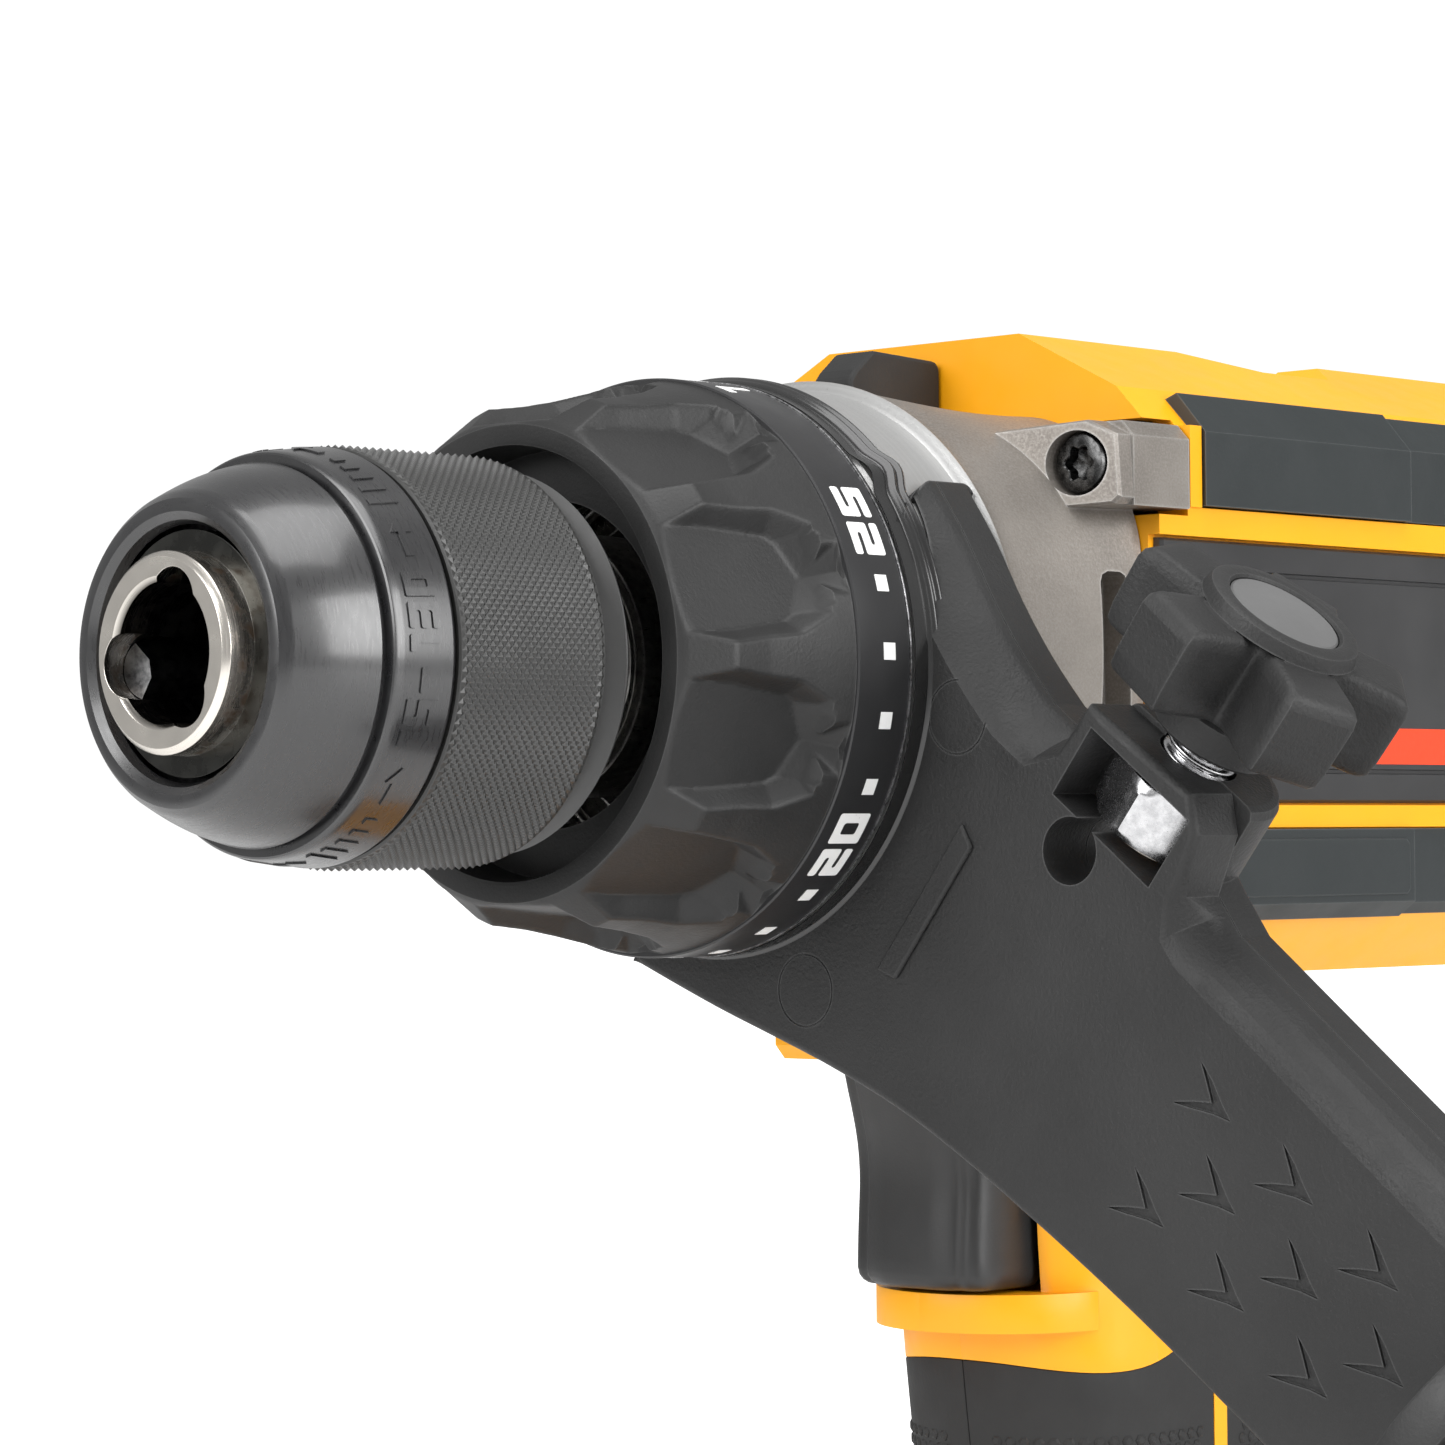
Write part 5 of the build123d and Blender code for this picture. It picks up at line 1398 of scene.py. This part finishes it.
def make_trigger():
    """Finger curve with a raised middle, grooved corners and a rounded lower end."""
    loops = []
    straight = steps_between(TRIGGER_BOTTOM + TRIGGER_ROUND, TRIGGER_TOP, 1.6)[::-1]
    for z in straight + [-68.9, -69.5, -69.9, TRIGGER_BOTTOM]:
        low = max(0.0, TRIGGER_BOTTOM + TRIGGER_ROUND - z)
        inset = TRIGGER_ROUND - sqrt(max(0.0, TRIGGER_ROUND ** 2 - low ** 2))
        smooth_front = sum(trigger_front(z + d) for d in (-3.0, -1.5, 0.0, 1.5, 3.0)) / 5
        front = max(smooth_front, 106.05) + inset
        half = TRIGGER_HALF - 0.6 * inset
        right_half = [
            (0.0, front), (3.2, front + 0.1), (half - 3.6, front + 0.45), (half - 3.0, front + 1.0),
            (half - 2.4, front + 1.35), (half - 1.8, front + 1.25), (half - 1.1, front + 1.5),
            (half - 0.45, front + 2.2), (half - 0.1, front + 3.2), (half, front + 4.4),
            (half, TRIGGER_BACK - 0.6), (half - 0.6, TRIGGER_BACK),
        ]
        section = right_half + [(-y, s) for y, s in reversed(right_half[1:])]
        loops.append([at(s, y, z) for y, s in section])
    shell = loops_mesh("trigger_shell", loops)
    plunger = cylinder_mesh(spindle_hole(0, -57.0), 3.55, 121.0, 133.4)
    add_piece(
        carve(shell, [plunger], "UNION"), "trigger_shell", "trigger_slide_body", BLACK_PLASTIC,
        ["trigger"], sharp=50,
    )


make_trigger()

# ---------------------------------------------------------------- grip texture
DOT_PITCH = 1.75
DOT_RADIUS = 0.72
DOT_ROWS = ((1.0, -0.12), (1.0, 0.06), (0.55, 0.26))      # share of the radius, and height
GRIP_ROWS = (-86.5, -147.5)
GRIP_SECTIONS = [        # height, middle station and half depth
    (-154.0, 148.5, 24.0), (-118.0, 146.0, 22.5), (-80.0, 142.5, 24.0), (-30.0, 142.5, 24.0)
]
GRIP_HALF_WIDTH = 17.0
GRIP_CORNER = 15.0
STRIPE_S = 145.0


def grip_point(z, along):
    """Point, and outward direction, on the left half of the grip, along its outline from the
    front: the outline is a rounded rectangle."""
    middle = between([(a, b) for a, b, c in GRIP_SECTIONS], z)
    half_depth = between([(a, c) for a, b, c in GRIP_SECTIONS], z)
    nose = GRIP_HALF_WIDTH - GRIP_CORNER
    quarter = GRIP_CORNER * pi / 2
    side = 2 * (half_depth - GRIP_CORNER)
    if along < nose:
        return middle - half_depth, along, (-1, 0)
    along -= nose
    if along < quarter:
        t = along / GRIP_CORNER
        return (
            middle - half_depth + GRIP_CORNER * (1 - cos(t)), nose + GRIP_CORNER * sin(t),
            (-cos(t), sin(t)),
        )
    along -= quarter
    if along < side:
        return middle - half_depth + GRIP_CORNER + along, GRIP_HALF_WIDTH, (0, 1)
    t = (along - side) / GRIP_CORNER
    return (
        middle + half_depth - GRIP_CORNER + GRIP_CORNER * sin(t), nose + GRIP_CORNER * cos(t),
        (sin(t), cos(t)),
    )


def make_grip_dots(side, name):
    """Low six-sided domes in a close hexagonal pattern over the rubber."""
    half_outline = 2 * (GRIP_HALF_WIDTH - GRIP_CORNER) + pi * GRIP_CORNER + 2 * (23.0 - GRIP_CORNER)
    points, faces = [], []
    corners = [radians(60 * k) for k in range(6)]
    ring = [(DOT_RADIUS * cos(a), DOT_RADIUS * sin(a)) for a in corners]
    rows = int((GRIP_ROWS[0] - GRIP_ROWS[1]) / (DOT_PITCH * 0.866))
    for row in range(rows + 1):
        z = GRIP_ROWS[0] - row * DOT_PITCH * 0.866
        along = 3.2 + (row % 2) * DOT_PITCH / 2
        while along < half_outline - 4.0:
            s, y, (ns, ny) = grip_point(z, along)
            along += DOT_PITCH
            dots_top = -86.5 - 0.06 * abs(s - 126.0)
            if abs(s - STRIPE_S) < 3.4 or z > dots_top:
                continue
            base = len(points)
            for share, height in DOT_ROWS:
                for across, upward in ring:
                    points.append(at(
                        s + ns * height - ny * across * share,
                        side * (y + ny * height + ns * across * share), z + upward * share,
                    ))
            for level in (0, 6):
                faces += [
                    (base + level + k, base + level + (k + 1) % 6, base + level + 6 + (k + 1) % 6,
                     base + level + 6 + k) for k in range(6)
                ]
            faces.append(tuple(base + 12 + k for k in range(6)))
            faces.append(tuple(base + 5 - k for k in range(6)))
    add_piece(mesh_from(name, points, faces), name, "tool", RUBBER, sharp=20)


make_grip_dots(1, "grip_dots_left")
make_grip_dots(-1, "grip_dots_right")

# every CAD node takes its slot's material; flat facets are merged and edges rounded
EDGE_WIDTHS = {"yellow": 0.7, "slate": 0.5, "rubber": 0.8, "case_metal": 0.6, "collar_black": 0.4}
PLAIN_NODES = ("clutch_spring", "trigger_spring", "output_ring_gear", "input_ring_gear")
for entry in frame["record"]["subparts"]:
    node = nodes[entry["node"]]
    node.data.materials.clear()
    node.data.materials.append(SLOT_MATERIALS[entry["material_slot"]])
    if entry["node"] in PLAIN_NODES:
        continue
    weld = node.modifiers.new("weld", "WELD")
    weld.merge_threshold = 0.002 * MM
    flat = node.modifiers.new("flat_faces", "DECIMATE")
    flat.decimate_type = "DISSOLVE"
    flat.angle_limit = radians(0.6)
    soften(node, EDGE_WIDTHS.get(entry["material_slot"], 0.3))

# ---------------------------------------------------------------- floor, lights and camera
FLOOR_SIZE = 60.0


def make_floor():
    half = FLOOR_SIZE / 2
    mesh = mesh_from(
        "floor", [(-half, -half, 0), (half, -half, 0), (half, half, 0), (-half, half, 0)],
        [(0, 1, 2, 3)],
    )
    finish = Finish("pale_floor", roughness=0.7)
    grain = finish.spread(finish.noise(14.0, 4.0), 0.3, 0.7)
    finish.colour(finish.blend(grain, rgb(0.90, 0.90, 0.90), rgb(0.93, 0.93, 0.93)))
    seen = finish.tree.nodes.new("ShaderNodeLightPath").outputs["Is Camera Ray"]
    finish.shader.inputs["Emission Color"].default_value = rgb(1.0, 1.0, 1.0)
    finish.tree.links.new(seen, finish.shader.inputs["Emission Strength"])
    mesh.materials.append(finish.material)
    floor_object = bpy.data.objects.new("floor", mesh)
    scene.collection.objects.link(floor_object)


make_floor()

world = bpy.data.worlds.new("studio")
world.use_nodes = True
ROOM_LIGHT = 0.45
WHITE_BACKDROP = 1.05
backdrop = world.node_tree.nodes["Background"]
backdrop.inputs["Color"].default_value = rgb(1.0, 1.0, 1.0)
seen_directly = world.node_tree.nodes.new("ShaderNodeLightPath").outputs["Is Camera Ray"]
strength = node_link(
    world.node_tree, "ShaderNodeMapRange",
    {"Value": seen_directly, "To Min": ROOM_LIGHT, "To Max": WHITE_BACKDROP},
)
world.node_tree.links.new(strength.outputs["Result"], backdrop.inputs["Strength"])
scene.world = world
DRILL_CENTRE = (CAD_BOX[0] + CAD_BOX[1]) / 2


def soft_light(name, direction, distance, size, power):
    """Square soft box, shining at the drill from a direction."""
    lamp = bpy.data.lights.new(name, "AREA")
    lamp.shape = "SQUARE"
    lamp.size = size
    lamp.energy = power
    box = bpy.data.objects.new(name, lamp)
    box.location = DRILL_CENTRE + Vector(direction).normalized() * distance
    box.rotation_euler = (DRILL_CENTRE - box.location).to_track_quat("-Z", "Y").to_euler()
    scene.collection.objects.link(box)


soft_light("key_light", (1.0, -0.15, 0.55), 1.1, 0.7, 9.0)
soft_light("side_fill", (-0.15, 1.0, 0.35), 1.3, 0.8, 14.0)
soft_light("top_light", (0.1, 0.2, 1.0), 1.2, 0.9, 9.0)

# the photo's viewpoint: where it stands, the way it looks, and its slight tilt
CAMERA_PLACE = Vector((0.43182, 0.34460, 0.19259))
CAMERA_YAW = radians(43.664)
CAMERA_PITCH = radians(1.573)
CAMERA_ROLL = radians(-0.511)
LENS_MM = 113.23

ahead = Vector((
    -cos(CAMERA_YAW) * cos(CAMERA_PITCH), -sin(CAMERA_YAW) * cos(CAMERA_PITCH), sin(CAMERA_PITCH)
))
level_right = ahead.cross(Vector((0, 0, 1))).normalized()
level_up = level_right.cross(ahead)
right = cos(CAMERA_ROLL) * level_right + sin(CAMERA_ROLL) * level_up
up = -sin(CAMERA_ROLL) * level_right + cos(CAMERA_ROLL) * level_up
turn = Matrix((right, up, -ahead)).transposed().to_4x4()
lens = bpy.data.cameras.new("camera")
lens.sensor_width = 36.0
lens.lens = LENS_MM
lens.clip_start = 0.01
camera = bpy.data.objects.new("camera", lens)
camera.matrix_world = Matrix.Translation(CAMERA_PLACE) @ turn
scene.collection.objects.link(camera)
scene.camera = camera
